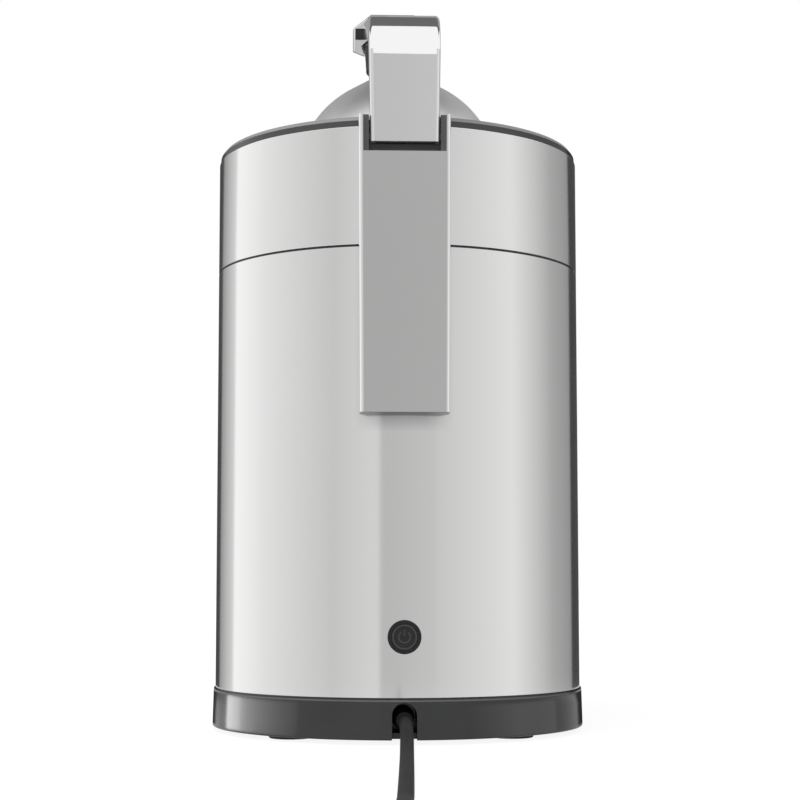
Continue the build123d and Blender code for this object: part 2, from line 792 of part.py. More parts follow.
# Return spring: one wire in half turns, each climbing half a pitch
spring_low = well_floor + spring_wire / 2 + seat_gap
spring_high = cup_low - spring_wire / 2 - seat_gap
spring_halves = 2 * spring_turns
spring_rise = (spring_high - spring_low) / spring_halves
with BuildPart() as return_spring:
    with BuildLine() as spring_line:
        for half in range(spring_halves):
            side = 1 if half % 2 == 0 else -1
            start = Vector(side * spring_radius, 0, spring_low + half * spring_rise)
            finish = Vector(-side * spring_radius, 0, spring_low + (half + 1) * spring_rise)
            half_turn(start, finish, Vector(0, side, 0))
    with BuildSketch(Plane(origin=(spring_radius, 0, spring_low), z_dir=(0, 1, 0))):
        Circle(spring_wire / 2)
    sweep(path=spring_line.wire())
save(return_spring, "return_spring")

# Collector band: the steel skirt above the seam, holed for the outlet
with BuildPart() as collector_band:
    with BuildSketch(Plane.XY.offset(band_z)):
        Circle(body_radius)
        Circle(inner_radius, mode=Mode.SUBTRACT)
    extrude(amount=band_height)
    rims = collector_band.edges().filter_by(GeomType.CIRCLE).sort_by(SortBy.RADIUS)[-2:]
    fillet(rims, sheet / 2)
    with BuildSketch(Plane.XZ.offset(-body_radius / 2)):
        with Locations((0, outlet_z)):
            Circle(outlet_radius + outlet_wall)
    extrude(amount=-body_radius, mode=Mode.SUBTRACT)
save(collector_band, "collector_band")

# Juice bowl: falls from the chimney round the shaft to its wall, with a ledge for the strainer
floor_top = band_z + bowl_lift + bowl_floor
with BuildPart() as juice_bowl:
    with BuildSketch(Plane.XZ):
        with BuildLine():
            Polyline(
                (inner_radius, band_z),
                (inner_radius, rim_z),
                (bowl_inner, rim_z),
                (bowl_inner, ledge_z),
                (ledge_inner, ledge_z),
                (ledge_inner, ledge_z - ledge_height),
                (bowl_inner, ledge_z - ledge_height - ledge_width),
                (bowl_inner, floor_top),
                (chimney_radius, floor_top + bowl_fall),
                (chimney_radius, chimney_top),
                (chimney_radius - chimney_wall, chimney_top),
                (chimney_radius - chimney_wall, floor_top + bowl_fall - bowl_floor),
                (bowl_inner, floor_top - bowl_floor),
                (bowl_inner, band_z),
                close=True,
            )
        make_face()
    revolve(axis=Axis.Z)
    with BuildSketch(Plane.XZ.offset(-body_radius / 2)):
        with Locations((0, outlet_z)):
            Circle(outlet_radius + outlet_wall)
    extrude(amount=-body_radius, mode=Mode.SUBTRACT)
save(juice_bowl, "juice_bowl")

# Rim ring: the dark splash ring on the collector, upright below and slanted above
rim_radius = body_radius - rim_inset
with BuildPart() as rim_ring:
    with BuildSketch(Plane.XZ):
        with BuildLine():
            Polyline(
                (rim_radius, rim_z),
                (rim_radius, rim_z + rim_face),
                (rim_radius - rim_slant, rim_z + rim_height),
                (rim_radius - rim_width, rim_z + rim_height),
                (bowl_inner - bowl_wall, rim_z + rim_face),
                (bowl_inner - bowl_wall, rim_z - rim_skirt),
                (bowl_inner, rim_z - rim_skirt),
                (bowl_inner, rim_z),
                close=True,
            )
        make_face()
    revolve(axis=Axis.Z)
    crown = rim_ring.edges().filter_by(GeomType.CIRCLE).group_by(Axis.Z)[-1]
    fillet(crown, rim_slant / 3)
save(rim_ring, "rim_ring")

# Strainer: a slotted dish on the bowl's ledge, with a collar round the chimney
dish_low = ledge_z - strainer_fall
with BuildPart() as strainer:
    with BuildSketch(Plane.XZ):
        with BuildLine():
            Polyline(
                (strainer_radius, ledge_z),
                (strainer_radius, ledge_z + strainer_sheet),
                (ledge_inner, ledge_z + strainer_sheet),
                (collar_inner + strainer_sheet, dish_low + strainer_sheet),
                (collar_inner + strainer_sheet, dish_low + strainer_collar),
                (collar_inner, dish_low + strainer_collar),
                (collar_inner, dish_low),
                (ledge_inner, ledge_z),
                close=True,
            )
        make_face()
    revolve(axis=Axis.Z)
    with BuildSketch(Plane.XY.offset(dish_low)):
        with PolarLocations(inner_slot_radius, inner_slots):
            SlotOverall(inner_slot_length, slot_width)
        with PolarLocations(outer_slot_radius, outer_slots):
            SlotOverall(outer_slot_length, slot_width)
    extrude(amount=strainer_fall + strainer_sheet, mode=Mode.SUBTRACT)
save(strainer, "strainer")

# Reamer cone: a bulged cone cut by tapered flutes, hollow below, with a six-sided socket in its hub
cone_top = cone_z + cone_height
cone_middle = (
    (cone_radius + cone_tip_radius) / 2 + cone_bulge,
    (cone_z + cone_skirt + cone_top) / 2 + cone_bulge,
)
flute_foot = Vector(cone_radius * flute_stand_off, 0, cone_z)
flute_peak = Vector(0, 0, cone_top + cone_tip_radius)
flute_way = flute_peak - flute_foot
flute_end = flute_foot + flute_way * flute_extent
flute_radius = cone_radius * flute_share
flute_axis = Plane(origin=flute_foot - flute_way * (1 - flute_extent), x_dir=(0, 1, 0), z_dir=flute_way)
with BuildPart() as reamer_cone:
    with BuildSketch(Plane.XZ):
        with BuildLine():
            Line((0, cone_z), (cone_radius, cone_z))
            Line((cone_radius, cone_z), (cone_radius, cone_z + cone_skirt))
            ThreePointArc((cone_radius, cone_z + cone_skirt), cone_middle, (cone_tip_radius, cone_top))
            Polyline((cone_tip_radius, cone_top), (0, cone_top), (0, cone_z))
        make_face()
    revolve(axis=Axis.Z)
    fillet(reamer_cone.edges().sort_by(Axis.Z)[-1], cone_tip_radius / 2)
    with PolarLocations(0, flutes):
        with Locations(flute_axis):
            Cone(
                flute_radius * (2 - flute_extent),
                flute_radius * (1 - flute_extent),
                flute_way.length,
                align=stand,
                mode=Mode.SUBTRACT,
            )
        with Locations(flute_end):
            Sphere(flute_radius * (1 - flute_extent), mode=Mode.SUBTRACT)
    with BuildSketch(Plane.XZ):
        with BuildLine():
            Polyline(
                (0, cone_z),
                (cone_flange_radius - flange_edge, cone_z),
                (cone_flange_radius, cone_z + flange_edge),
                (cone_flange_radius, cone_z + cone_flange - flange_edge),
                (cone_flange_radius - flange_edge, cone_z + cone_flange),
                (0, cone_z + cone_flange),
                close=True,
            )
        make_face()
    revolve(axis=Axis.Z)
    with BuildSketch(Plane.XZ):
        with BuildLine():
            Polyline(
                (cone_hub_radius, cone_z),
                (cone_hollow_radius, cone_z),
                (cone_hub_radius, cone_z + cone_hollow_height),
                close=True,
            )
        make_face()
    revolve(axis=Axis.Z, mode=Mode.SUBTRACT)
    with BuildSketch(Plane.XY.offset(shaft_high)):
        RegularPolygon(hex_flats / 2, 6, major_radius=False)
    extrude(amount=hex_length, mode=Mode.SUBTRACT)
    with Locations((0, 0, cone_z)):
        Cylinder(shaft_radius, cone_skirt, align=stand, mode=Mode.SUBTRACT)
save(reamer_cone, "reamer_cone")

# Outlet: the pipe through the bowl wall, its flange on the band and two ears for the spout
ear_inner = spout_half + slide_gap
with BuildPart() as outlet:
    with BuildSketch(Plane.XZ.offset(-inner_radius)):
        with Locations((0, outlet_z)):
            Rectangle(2 * (ear_inner + ear_thickness), 2 * outlet_flange)
    extrude(amount=-(sheet + outlet_wall))
    for side in (-1, 1):
        with BuildSketch(Plane.YZ.offset(side * ear_inner)):
            with BuildLine():
                Polyline(
                    (inner_radius, outlet_z - outlet_flange),
                    (spout_y, spout_z - ear_radius),
                    (spout_y + ear_radius, spout_z),
                    (spout_y, spout_z + ear_radius),
                    (inner_radius, outlet_z + ear_radius),
                    close=True,
                )
            make_face()
        extrude(amount=side * ear_thickness)
    with Locations((0, 0, band_z)):
        Cylinder(body_radius, band_height, align=stand, mode=Mode.SUBTRACT)
    with BuildSketch(Plane.XZ.offset(-bowl_inner)):
        with Locations((0, outlet_z)):
            Circle(outlet_radius + outlet_wall)
    extrude(amount=-(outlet_end - bowl_inner))
    with BuildSketch(Plane.XZ.offset(-bowl_inner)):
        with Locations((0, outlet_z)):
            Circle(outlet_radius)
    extrude(amount=-(outlet_end - bowl_inner), mode=Mode.SUBTRACT)
    with Locations(Plane((0, spout_y, spout_z), z_dir=(1, 0, 0))):
        Cylinder(trunnion_radius + run_gap, 4 * spout_half, mode=Mode.SUBTRACT)
save(outlet, "outlet")

# Spout: an open trough on two trunnions, which tips up to stop the last drops
with BuildPart() as spout:
    with BuildSketch(spout_plane):
        with BuildLine():
            Polyline(
                (-spout_tail, -spout_floor_drop - spout_wall),
                (spout_length, -spout_floor_drop - spout_wall),
                (spout_length + spout_wall, spout_lip - spout_floor_drop),
                (spout_tail, spout_side - spout_floor_drop),
                (-spout_tail / 2, spout_side - spout_floor_drop),
                close=True,
            )
        make_face()
    extrude(amount=spout_half, both=True)
    with BuildSketch(spout_plane):
        with Locations((0, -spout_floor_drop)):
            Rectangle(3 * spout_length, 2 * spout_side, align=(Align.CENTER, Align.MIN))
    extrude(amount=spout_half - spout_wall, both=True, mode=Mode.SUBTRACT)
    floor_edges = spout.edges().filter_by(Axis.X).group_by(Axis.Z)[0]
    fillet(floor_edges, spout_wall / 2)
    for side in (-1, 1):
        with Locations(Plane((side * (spout_half - spout_wall), spout_y, spout_z), z_dir=(side, 0, 0))):
            Cylinder(trunnion_radius, spout_wall + slide_gap + ear_thickness, align=stand)
save(spout, "spout")

# Spine cover: the satin channel that runs from the housing up past the collector to the hinge
with BuildPart() as spine_cover:
    with BuildSketch(Plane.XZ.offset(-spine_y)):
        Polygon(*tapered(spine_low, spine_top, spine_half, spine_spread, spine_low, 0), align=None)
    extrude(amount=-3 * spine_reach)
    rear_edges = spine_cover.faces().sort_by(Axis.Y)[0].edges().filter_by(Axis.X, reverse=True)
    fillet(rear_edges, spine_edge)
    with BuildSketch(Plane.XZ.offset(-spine_y - spine_wall)):
        inside = tapered(spine_low + spine_wall, spine_top, spine_half, spine_spread, spine_low, spine_wall)
        Polygon(*inside, align=None)
    extrude(amount=-3 * spine_reach, mode=Mode.SUBTRACT)
    with BuildSketch(Plane.XZ.offset(-spine_y)):
        window = tapered(spine_high, spine_top, spine_half, spine_spread, spine_low, spine_wall)
        Polygon(*window, align=None)
    extrude(amount=-spine_reach, mode=Mode.SUBTRACT)
    Cylinder(body_radius, seam_z, align=stand, mode=Mode.SUBTRACT)
    with Locations((0, 0, seam_z)):
        Cylinder(body_radius + lift_gap, band_height + rim_height, align=stand, mode=Mode.SUBTRACT)
save(spine_cover, "spine_cover")

# Hinge block: the dark carrier inside the spine, with two cheeks for the lever's pin
hinge_axis = Plane((0, hinge_y, hinge_pin_z), z_dir=(1, 0, 0))
screw_places = [(0, z) for z in spine_screw_z]
screw_tip = body_radius + spine_reach / 2
with BuildPart() as hinge_block:
    with BuildSketch(Plane.XZ.offset(-spine_y - spine_wall)):
        block = tapered(spine_low + hinge_foot, spine_top, spine_half, spine_spread, spine_low, spine_wall)
        Polygon(*block, align=None)
    extrude(amount=-2 * spine_reach)
    Cylinder(body_radius, seam_z, align=stand, mode=Mode.SUBTRACT)
    with Locations((0, 0, seam_z)):
        Cylinder(body_radius + lift_gap, band_height + rim_height, align=stand, mode=Mode.SUBTRACT)
    with Locations((0, spine_y, hinge_floor)):
        Box(2 * lever_clear, 4 * spine_reach, band_height, align=stand, mode=Mode.SUBTRACT)
    with Locations(hinge_axis):
        Cylinder(hinge_pin_radius, 2 * (spine_half - spine_wall), mode=Mode.SUBTRACT)
    with BuildSketch(Plane.XZ.offset(inner_radius)):
        with Locations(*screw_places):
            Circle(screw_radius + run_gap)
    extrude(amount=screw_tip - inner_radius, mode=Mode.SUBTRACT)
save(hinge_block, "hinge_block")

with BuildPart() as hinge_pin:
    with Locations(hinge_axis):
        Cylinder(hinge_pin_radius, 2 * (spine_half - spine_wall))
save(hinge_pin, "hinge_pin")

# Spine screws: from inside the housing into the block
head_face = sqrt(inner_radius**2 - screw_head_radius**2)
with BuildPart() as spine_screws:
    with BuildSketch(Plane.XZ.offset(head_face)):
        with Locations(*screw_places):
            Circle(screw_radius)
    extrude(amount=screw_tip - slide_gap - head_face)
    with BuildSketch(Plane.XZ.offset(head_face)):
        with Locations(*screw_places):
            Circle(screw_head_radius)
    extrude(amount=-screw_head)
save(spine_screws, "spine_screws")

# Lever core: the dark filling of the lever, which turns on the hinge pin
stem_front = spine_y + stem_depth
arm_front = spine_y + lever_depth
stem_cut = (
    (hinge_y, lever_foot - lever_depth),
    (hinge_y, lever_foot),
    (stem_front, hinge_pin_z),
    (stem_front, stem_z),
    (arm_front, stem_z + stem_slant),
    (arm_front + lever_depth, stem_z + stem_slant),
    (arm_front + lever_depth, lever_foot - lever_depth),
)
with BuildPart() as lever_core:
    with BuildSketch(Plane.YZ):
        with BuildLine():
            lever_side(lever_wall, lever_depth, lever_foot, arm_length)
        make_face()
    extrude(amount=2 * lever_half, both=True)
    with BuildSketch(Plane.XZ.offset(-spine_y)):
        core = tapered(lever_foot, lever_top, lever_half, lever_spread, lever_foot, lever_wall)
        Polygon(*core, align=None)
    extrude(amount=-4 * body_radius, mode=Mode.INTERSECT)
    with BuildSketch(Plane.YZ):
        Polygon(*stem_cut, align=None)
    extrude(amount=2 * lever_half, both=True, mode=Mode.SUBTRACT)
    with Locations(hinge_axis):
        Cylinder(hinge_pin_radius + run_gap, 4 * lever_half, mode=Mode.SUBTRACT)
save(lever_core, "lever_core")

# Grip inserts: dark blocks let into the lever's sides behind the grip
insert_plane = Plane(
    origin=grip_origin - Vector(*arm_direction) * insert_length, x_dir=(1, 0, 0), z_dir=arm_direction
)
arm_half = lever_half + lever_spread * (grip_origin.Z - lever_foot)
insert_inner = arm_half - lever_wall / 2
with BuildPart() as grip_inserts:
    for side in (-1, 1):
        with BuildSketch(insert_plane):
            with Locations((side * (insert_inner + insert_half) / 2, (insert_high + insert_low) / 2)):
                Rectangle(insert_half - insert_inner, insert_low - insert_high)
        extrude(amount=insert_length)
save(grip_inserts, "grip_inserts")

# Lever arm: a chromed channel that rises from the hinge and bends forward over the body
with BuildPart() as lever_arm:
    with BuildSketch(Plane.YZ):
        with BuildLine():
            lever_side(0, lever_depth, lever_foot, arm_length)
        make_face()
    extrude(amount=2 * lever_half, both=True)
    with BuildSketch(Plane.XZ.offset(-spine_y)):
        Polygon(*tapered(lever_foot, lever_top, lever_half, lever_spread, lever_foot, 0), align=None)
    extrude(amount=-4 * body_radius, mode=Mode.INTERSECT)
    rear_face = lever_arm.faces().sort_by(Axis.Y)[0]
    fillet(rear_face.edges().filter_by(Axis.X, reverse=True), lever_edge)
    with BuildSketch(Plane.YZ):
        Polygon(*stem_cut, align=None)
    extrude(amount=2 * lever_half, both=True, mode=Mode.SUBTRACT)
    with Locations(hinge_axis):
        Cylinder(hinge_pin_radius + run_gap, 4 * lever_half, mode=Mode.SUBTRACT)
    add(lever_core.part, mode=Mode.SUBTRACT)
    add(grip_inserts.part, mode=Mode.SUBTRACT)
save(lever_arm, "lever_arm")

# Lever grip: a bevelled six-sided cap on the end of the arm
with BuildPart() as lever_grip:
    with BuildSketch(grip_plane):
        with BuildLine():
            Polyline(
                (grip_crown, -grip_rise),
                (grip_half, grip_bevel - grip_rise),
                (grip_half, grip_depth - grip_chin_depth - grip_rise),
                (grip_half - grip_chin, grip_depth - grip_rise),
                (grip_chin - grip_half, grip_depth - grip_rise),
                (-grip_half, grip_depth - grip_chin_depth - grip_rise),
                (-grip_half, grip_bevel - grip_rise),
                (-grip_crown, -grip_rise),
                close=True,
            )
        make_face()
    extrude(amount=grip_length)
    fillet(lever_grip.edges(), grip_edge)
    add(lever_core.part, mode=Mode.SUBTRACT)
    add(lever_arm.part, mode=Mode.SUBTRACT)
save(lever_grip, "lever_grip")

# Dome holder: the dark collar under the arm, slotted for the dome's eye
belly_plane = arm_plane.offset(-lever_depth)
dome_axis = Plane((0, 0, dome_pivot_z), z_dir=(1, 0, 0))
with BuildPart() as dome_holder:
    with BuildSketch(Plane.XZ):
        with BuildLine():
            Polyline(
                (0, holder_low),
                (holder_radius - holder_draft - holder_edge, holder_low),
                (holder_radius - holder_draft, holder_low + holder_edge),
                (holder_radius, holder_low + holder_shoulder),
                (holder_neck, holder_low + holder_shoulder),
                (holder_neck, holder_low + 2 * holder_radius),
                (0, holder_low + 2 * holder_radius),
                close=True,
            )
        make_face()
    revolve(axis=Axis.Z)
    split(bisect_by=belly_plane, keep=Keep.BOTTOM)
    with BuildSketch(Plane.YZ):
        with Locations((0, dome_pivot_z)):
            Circle(holder_slot)
        with Locations((0, holder_low)):
            Rectangle(2 * holder_slot, dome_pivot_z - holder_low, align=(Align.CENTER, Align.MIN))
    extrude(amount=eye_half + slide_gap, both=True, mode=Mode.SUBTRACT)
    with Locations(dome_axis):
        Cylinder(dome_pin_radius, 2 * holder_radius, mode=Mode.SUBTRACT)
save(dome_holder, "dome_holder")

with BuildPart() as dome_pin:
    with Locations(dome_axis):
        Cylinder(dome_pin_radius, 2 * (holder_radius - holder_draft - holder_edge))
save(dome_pin, "dome_pin")

# Press dome: the spun steel cup that pushes the fruit on to the cone
with BuildPart() as press_dome:
    with BuildSketch(Plane.XZ):
        with BuildLine():
            dome_side(0)
        make_face()
    revolve(axis=Axis.Z)
    with BuildSketch(Plane.XZ):
        with BuildLine():
            dome_side(dome_sheet)
        make_face()
    revolve(axis=Axis.Z, mode=Mode.SUBTRACT)
    Cylinder(stem_radius, dome_top, align=stand, mode=Mode.SUBTRACT)
save(press_dome, "press_dome")

# Dome liner: the dark ribbed lining, whose stem passes through the steel to the eye on the dome pin
rib_ball = dome_radius - dome_sheet - liner_thickness / 2
rib_low = (sqrt(rib_ball**2 - liner_rib_low**2), dome_centre + liner_rib_low)
rib_high = (sqrt(rib_ball**2 - liner_rib_high**2), dome_centre + liner_rib_high)
rib_turn = (atan2(liner_rib_low, rib_low[0]) + atan2(liner_rib_high, rib_high[0])) / 2
rib_face = rib_ball - liner_thickness / 2 - liner_rib_height
rib_back = (rib_ball * cos(rib_turn), dome_centre + rib_ball * sin(rib_turn))
rib_front = (rib_face * cos(rib_turn), dome_centre + rib_face * sin(rib_turn))
rib_angles = [2 * pi * k / liner_ribs for k in range(liner_ribs)]
rib_planes = [Plane((0, 0, 0), x_dir=(cos(a), sin(a), 0), z_dir=(sin(a), -cos(a), 0)) for a in rib_angles]
with BuildPart() as dome_liner:
    with BuildSketch(Plane.XZ):
        with BuildLine():
            dome_side(dome_sheet)
        make_face()
    revolve(axis=Axis.Z)
    with BuildSketch(Plane.XZ):
        with BuildLine():
            dome_side(dome_sheet + liner_thickness)
        make_face()
    revolve(axis=Axis.Z, mode=Mode.SUBTRACT)
    with BuildSketch(*rib_planes):
        with BuildLine():
            ThreePointArc(rib_low, rib_back, rib_high)
            Polyline(rib_high, rib_front, rib_low)
        make_face()
    extrude(amount=liner_rib_width / 2, both=True)
    with BuildSketch(Plane.XY.offset(dome_top - dome_sheet)):
        Circle(stem_radius)
    extrude(amount=dome_sheet)
    with BuildSketch(Plane.YZ):
        with Locations((0, dome_pivot_z)):
            Circle(eye_radius)
        with Locations((0, dome_top)):
            Rectangle(2 * eye_radius, dome_pivot_z - dome_top, align=(Align.CENTER, Align.MIN))
    extrude(amount=eye_half, both=True)
    with Locations(dome_axis):
        Cylinder(dome_pin_radius + run_gap, 4 * eye_half, mode=Mode.SUBTRACT)
save(dome_liner, "dome_liner")

# Power switch: bezel on the shell, push button in it, and the switch body behind
bezel_plane = Plane.XZ.offset(body_radius + bezel_proud)
collar_end = body_radius - collar_depth
with BuildPart() as switch_bezel:
    with BuildSketch(bezel_plane):
        with Locations((0, switch_z)):
            Circle(bezel_radius)
    extrude(amount=-2 * bezel_proud)
    fillet(switch_bezel.edges().sort_by(Axis.Y)[0], bezel_proud / 2)
    Cylinder(body_radius, 2 * switch_z, align=stand, mode=Mode.SUBTRACT)
    with BuildSketch(Plane.XZ.offset(collar_end)):
        with Locations((0, switch_z)):
            Circle(collar_radius)
    extrude(amount=collar_depth + bezel_proud / 2)
    with BuildSketch(Plane.XZ.offset(collar_end)):
        with Locations((0, switch_z)):
            Circle(collar_bore)
    extrude(amount=collar_depth + bezel_proud, mode=Mode.SUBTRACT)
save(switch_bezel, "switch_bezel")

with BuildPart() as switch_body:
    with BuildSketch(Plane.XZ.offset(collar_end)):
        with Locations((0, switch_z)):
            Rectangle(switch_body_x, switch_body_z)
    extrude(amount=-switch_body_y)
    with BuildSketch(Plane.XZ.offset(collar_end)):
        with Locations((0, switch_z)):
            Circle(button_stem_radius + run_gap)
    extrude(amount=-switch_body_y / 2, mode=Mode.SUBTRACT)
save(switch_body, "switch_body")

stem_reach = collar_depth + switch_body_y / 2 - button_travel - slide_gap
with BuildPart() as power_button:
    with BuildSketch(Plane.XZ.offset(-button_face)):
        with Locations((0, switch_z)):
            Circle(button_radius)
    extrude(amount=-button_depth)
    with BuildSketch(Plane.XZ.offset(-button_face)):
        with Locations((0, switch_z)):
            Circle(button_radius - button_rim)
    extrude(amount=-button_dish, mode=Mode.SUBTRACT)
    with BuildSketch(Plane.XZ.offset(-button_face - button_depth)):
        with Locations((0, switch_z)):
            Circle(button_stem_radius)
    extrude(amount=button_depth - button_proud - stem_reach)
save(power_button, "power_button")

# Cord gland: the strain relief in the arch
with BuildPart() as cord_gland:
    with BuildSketch(Plane.XZ.offset(-pocket_back - pocket_wall)):
        with Locations((0, gland_z)):
            Circle(gland_neck)
    extrude(amount=pocket_wall)
    with BuildSketch(Plane.XZ.offset(-pocket_back)):
        with Locations((0, gland_z)):
            Circle(gland_flange)
    extrude(amount=gland_flange_thickness)
    with Locations(Plane((0, gland_face, gland_z), z_dir=(0, -1, 0))):
        Cone(gland_root, gland_tip, gland_length, align=stand)
save(cord_gland, "cord_gland")

# Mains cord: its free stretch, straight out of the gland, down to the worktop and back to the coil
floor_z = cord_radius + tie_thickness + tie_gap
cord_points = [
    (0, gland_end, gland_z),
    (0, -114.0, gland_z),
    (-1.5, -152.0, cord_radius + slide_gap),
    (-4.6, -226.0, cord_radius + slide_gap),
    (-9.3, -332.0, cord_radius + slide_gap),
    (coil_x, -376.0, floor_z),
    (coil_x, coil_y, floor_z),
]


def bend_radii(points):
    """Corner radii of a cord's route, each as wide as its shorter run allows."""
    radii = []
    for before, corner, after in zip(points, points[1:], points[2:]):
        first = Vector(*corner) - Vector(*before)
        second = Vector(*after) - Vector(*corner)
        turn = radians(first.get_angle(second))
        radii.append(corner_share * min(first.length, second.length) / tan(turn / 2))
    return radii


with BuildPart() as mains_cord:
    with BuildLine() as cord_line:
        FilletPolyline(*cord_points, radius=bend_radii(cord_points))
    with BuildSketch(Plane(origin=cord_points[0], z_dir=(0, -1, 0))):
        Circle(cord_radius)
    sweep(path=cord_line.wire())
save(mains_cord, "mains_cord")

# Cord coil: half turns that close in on the worktop, climb a layer and open out again to the plug
cord_pitch = 2 * cord_radius + coil_gap
upper_z = floor_z + cord_pitch
plug_z = plug_thickness / 2 + seat_gap
turn_y = coil_y - 2 * cord_radius
lower_radii = [coil_radius - cord_pitch / 2 * k for k in range(coil_rounds)]
climb_radius = coil_radius - cord_pitch / 2 * coil_rounds
upper_radii = lower_radii[:0:-1]
tail_x = coil_x + coil_radius
tail_y = turn_y - coil_radius
tail_points = [
    (tail_x, tail_y, upper_z),
    (tail_x + tail_runs[0], tail_y, upper_z),
    (tail_x + tail_runs[0] + tail_runs[1], tail_y, plug_z),
    (tail_x + sum(tail_runs), tail_y, plug_z),
]
with BuildPart() as cord_coil:
    with BuildLine() as coil_line:
        Line((coil_x, coil_y, floor_z), (coil_x, turn_y, floor_z))
        place = Vector(coil_x, turn_y, floor_z)
        side = 1
        for radius in lower_radii + [climb_radius] + upper_radii:
            rise = cord_pitch if radius == climb_radius else 0
            finish = place + Vector(2 * side * radius, 0, rise)
            half_turn(place, finish, Vector(0, -side, 0))
            place = finish
            side = -side
        CenterArc((tail_x, turn_y, upper_z), coil_radius, 180, 90)
        FilletPolyline(*tail_points, radius=bend_radii(tail_points))
    with BuildSketch(Plane(origin=(coil_x, coil_y, floor_z), z_dir=(0, -1, 0))):
        Circle(cord_radius)
    sweep(path=coil_line.wire())
save(cord_coil, "cord_coil")

# Cord tie: a band round the coil's right side
bundle_right = coil_x + 2 * coil_radius + cord_radius + tie_side_gap
bundle_left = coil_x + 2 * coil_radius - 2 * cord_pitch - cord_radius - tie_side_gap
bundle_low = floor_z - cord_radius - tie_gap + seat_gap
bundle_high = upper_z + cord_radius + tie_gap
bundle_x = bundle_right - bundle_left
bundle_z = bundle_high - bundle_low
tie_wall = tie_thickness - seat_gap
with BuildPart() as cord_tie:
    with BuildSketch(Plane.XZ.offset(-turn_y - tie_width / 2)):
        with Locations(((bundle_left + bundle_right) / 2, (bundle_low + bundle_high) / 2)):
            RectangleRounded(bundle_x + 2 * tie_wall, bundle_z + 2 * tie_wall, tie_corner)
            RectangleRounded(bundle_x, bundle_z, tie_corner - tie_thickness, mode=Mode.SUBTRACT)
    extrude(amount=tie_width)
save(cord_tie, "cord_tie")

# Plug: a flat two-pin plug at the cord's end
plug_x = tail_x + sum(tail_runs)


def plug_section(along):
    """Plane across the plug at a distance from the cord's end."""
    return Plane((plug_x + along, tail_y, plug_z), x_dir=(0, 1, 0), z_dir=(1, 0, 0))


with BuildPart() as plug_body:
    with BuildSketch(plug_section(0)):
        RectangleRounded(plug_neck_width, plug_neck_thickness, plug_corner)
    with BuildSketch(plug_section(plug_taper)):
        RectangleRounded(plug_width, plug_thickness, plug_corner)
    loft()
    with BuildSketch(plug_section(plug_taper)):
        RectangleRounded(plug_width, plug_thickness, plug_corner)
    extrude(amount=plug_length - plug_taper)
    fillet(plug_body.faces().sort_by(Axis.X)[-1].edges(), plug_edge)
save(plug_body, "plug_body")

with BuildPart() as plug_pins:
    with BuildSketch(plug_section(plug_length)):
        with GridLocations(pin_spacing, 0, 2, 1):
            Circle(pin_radius)
    extrude(amount=pin_length)
    fillet(plug_pins.faces().sort_by(Axis.X)[-2:].edges(), pin_radius / 2)
save(plug_pins, "plug_pins")

# Frame: the origin goes on the worktop under the middle of the juicer, measured without its free cord
free_cord = ("mains_cord", "cord_coil", "cord_tie", "plug_body", "plug_pins")
juicer = Compound([piece for name, piece in made.items() if name not in free_cord])
to_origin = Location((0, -juicer.bounding_box().center().Y, 0))
os.makedirs("parts", exist_ok=True)
for name, piece in made.items():
    placed = piece.moved(to_origin)
    placed.label = name
    export_step(placed, f"parts/{name}.step")
print("body axis at", to_origin.position)
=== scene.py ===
# %% [markdown]
# # A lever citrus juicer, dressed for the studio
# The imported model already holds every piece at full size. This lesson gives the visible pieces
# their finishes, lays the mains lead as one smooth curve, adds the sign on the button, and lights the
# whole as a plain catalogue picture. Everything is in metres, with the rear at -Y.

# %% Load the model and keep its box
import bpy
import json
from math import atan2, cos, pi, radians, sin, sqrt
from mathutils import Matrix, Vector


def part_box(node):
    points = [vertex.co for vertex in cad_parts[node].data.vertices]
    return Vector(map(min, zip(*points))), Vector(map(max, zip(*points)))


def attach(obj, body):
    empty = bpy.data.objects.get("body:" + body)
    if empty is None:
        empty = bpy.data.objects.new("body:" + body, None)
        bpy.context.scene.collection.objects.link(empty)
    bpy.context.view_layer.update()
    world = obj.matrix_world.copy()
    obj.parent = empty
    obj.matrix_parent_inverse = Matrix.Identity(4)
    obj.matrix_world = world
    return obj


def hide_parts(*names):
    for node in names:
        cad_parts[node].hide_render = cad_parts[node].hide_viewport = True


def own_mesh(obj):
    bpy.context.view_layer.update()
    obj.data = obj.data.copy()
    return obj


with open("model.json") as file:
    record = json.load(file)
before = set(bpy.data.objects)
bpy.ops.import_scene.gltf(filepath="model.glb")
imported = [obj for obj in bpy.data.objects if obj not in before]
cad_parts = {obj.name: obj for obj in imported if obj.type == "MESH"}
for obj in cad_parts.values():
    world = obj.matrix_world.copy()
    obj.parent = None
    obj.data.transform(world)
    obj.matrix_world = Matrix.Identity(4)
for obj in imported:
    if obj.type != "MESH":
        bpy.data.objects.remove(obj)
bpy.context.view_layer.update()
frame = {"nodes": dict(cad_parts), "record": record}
nodes = frame["nodes"]
MM = 0.001
shell_low, shell_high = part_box("housing_shell")
axis_y = (shell_low[1] + shell_high[1]) / 2
print("nodes in the frame:", len(nodes), "and the body's axis at y", round(axis_y, 5))

# %% [markdown]
# ## The camera
# The juicer is seen from behind, low down, with a long lens that looks slightly up. The lens axis isn't
# in the frame's middle, as in a picture cut from a larger one. Turning the camera could centre the
# juicer, but it would make the uprights lean another way, so a small shift moves the frame instead.

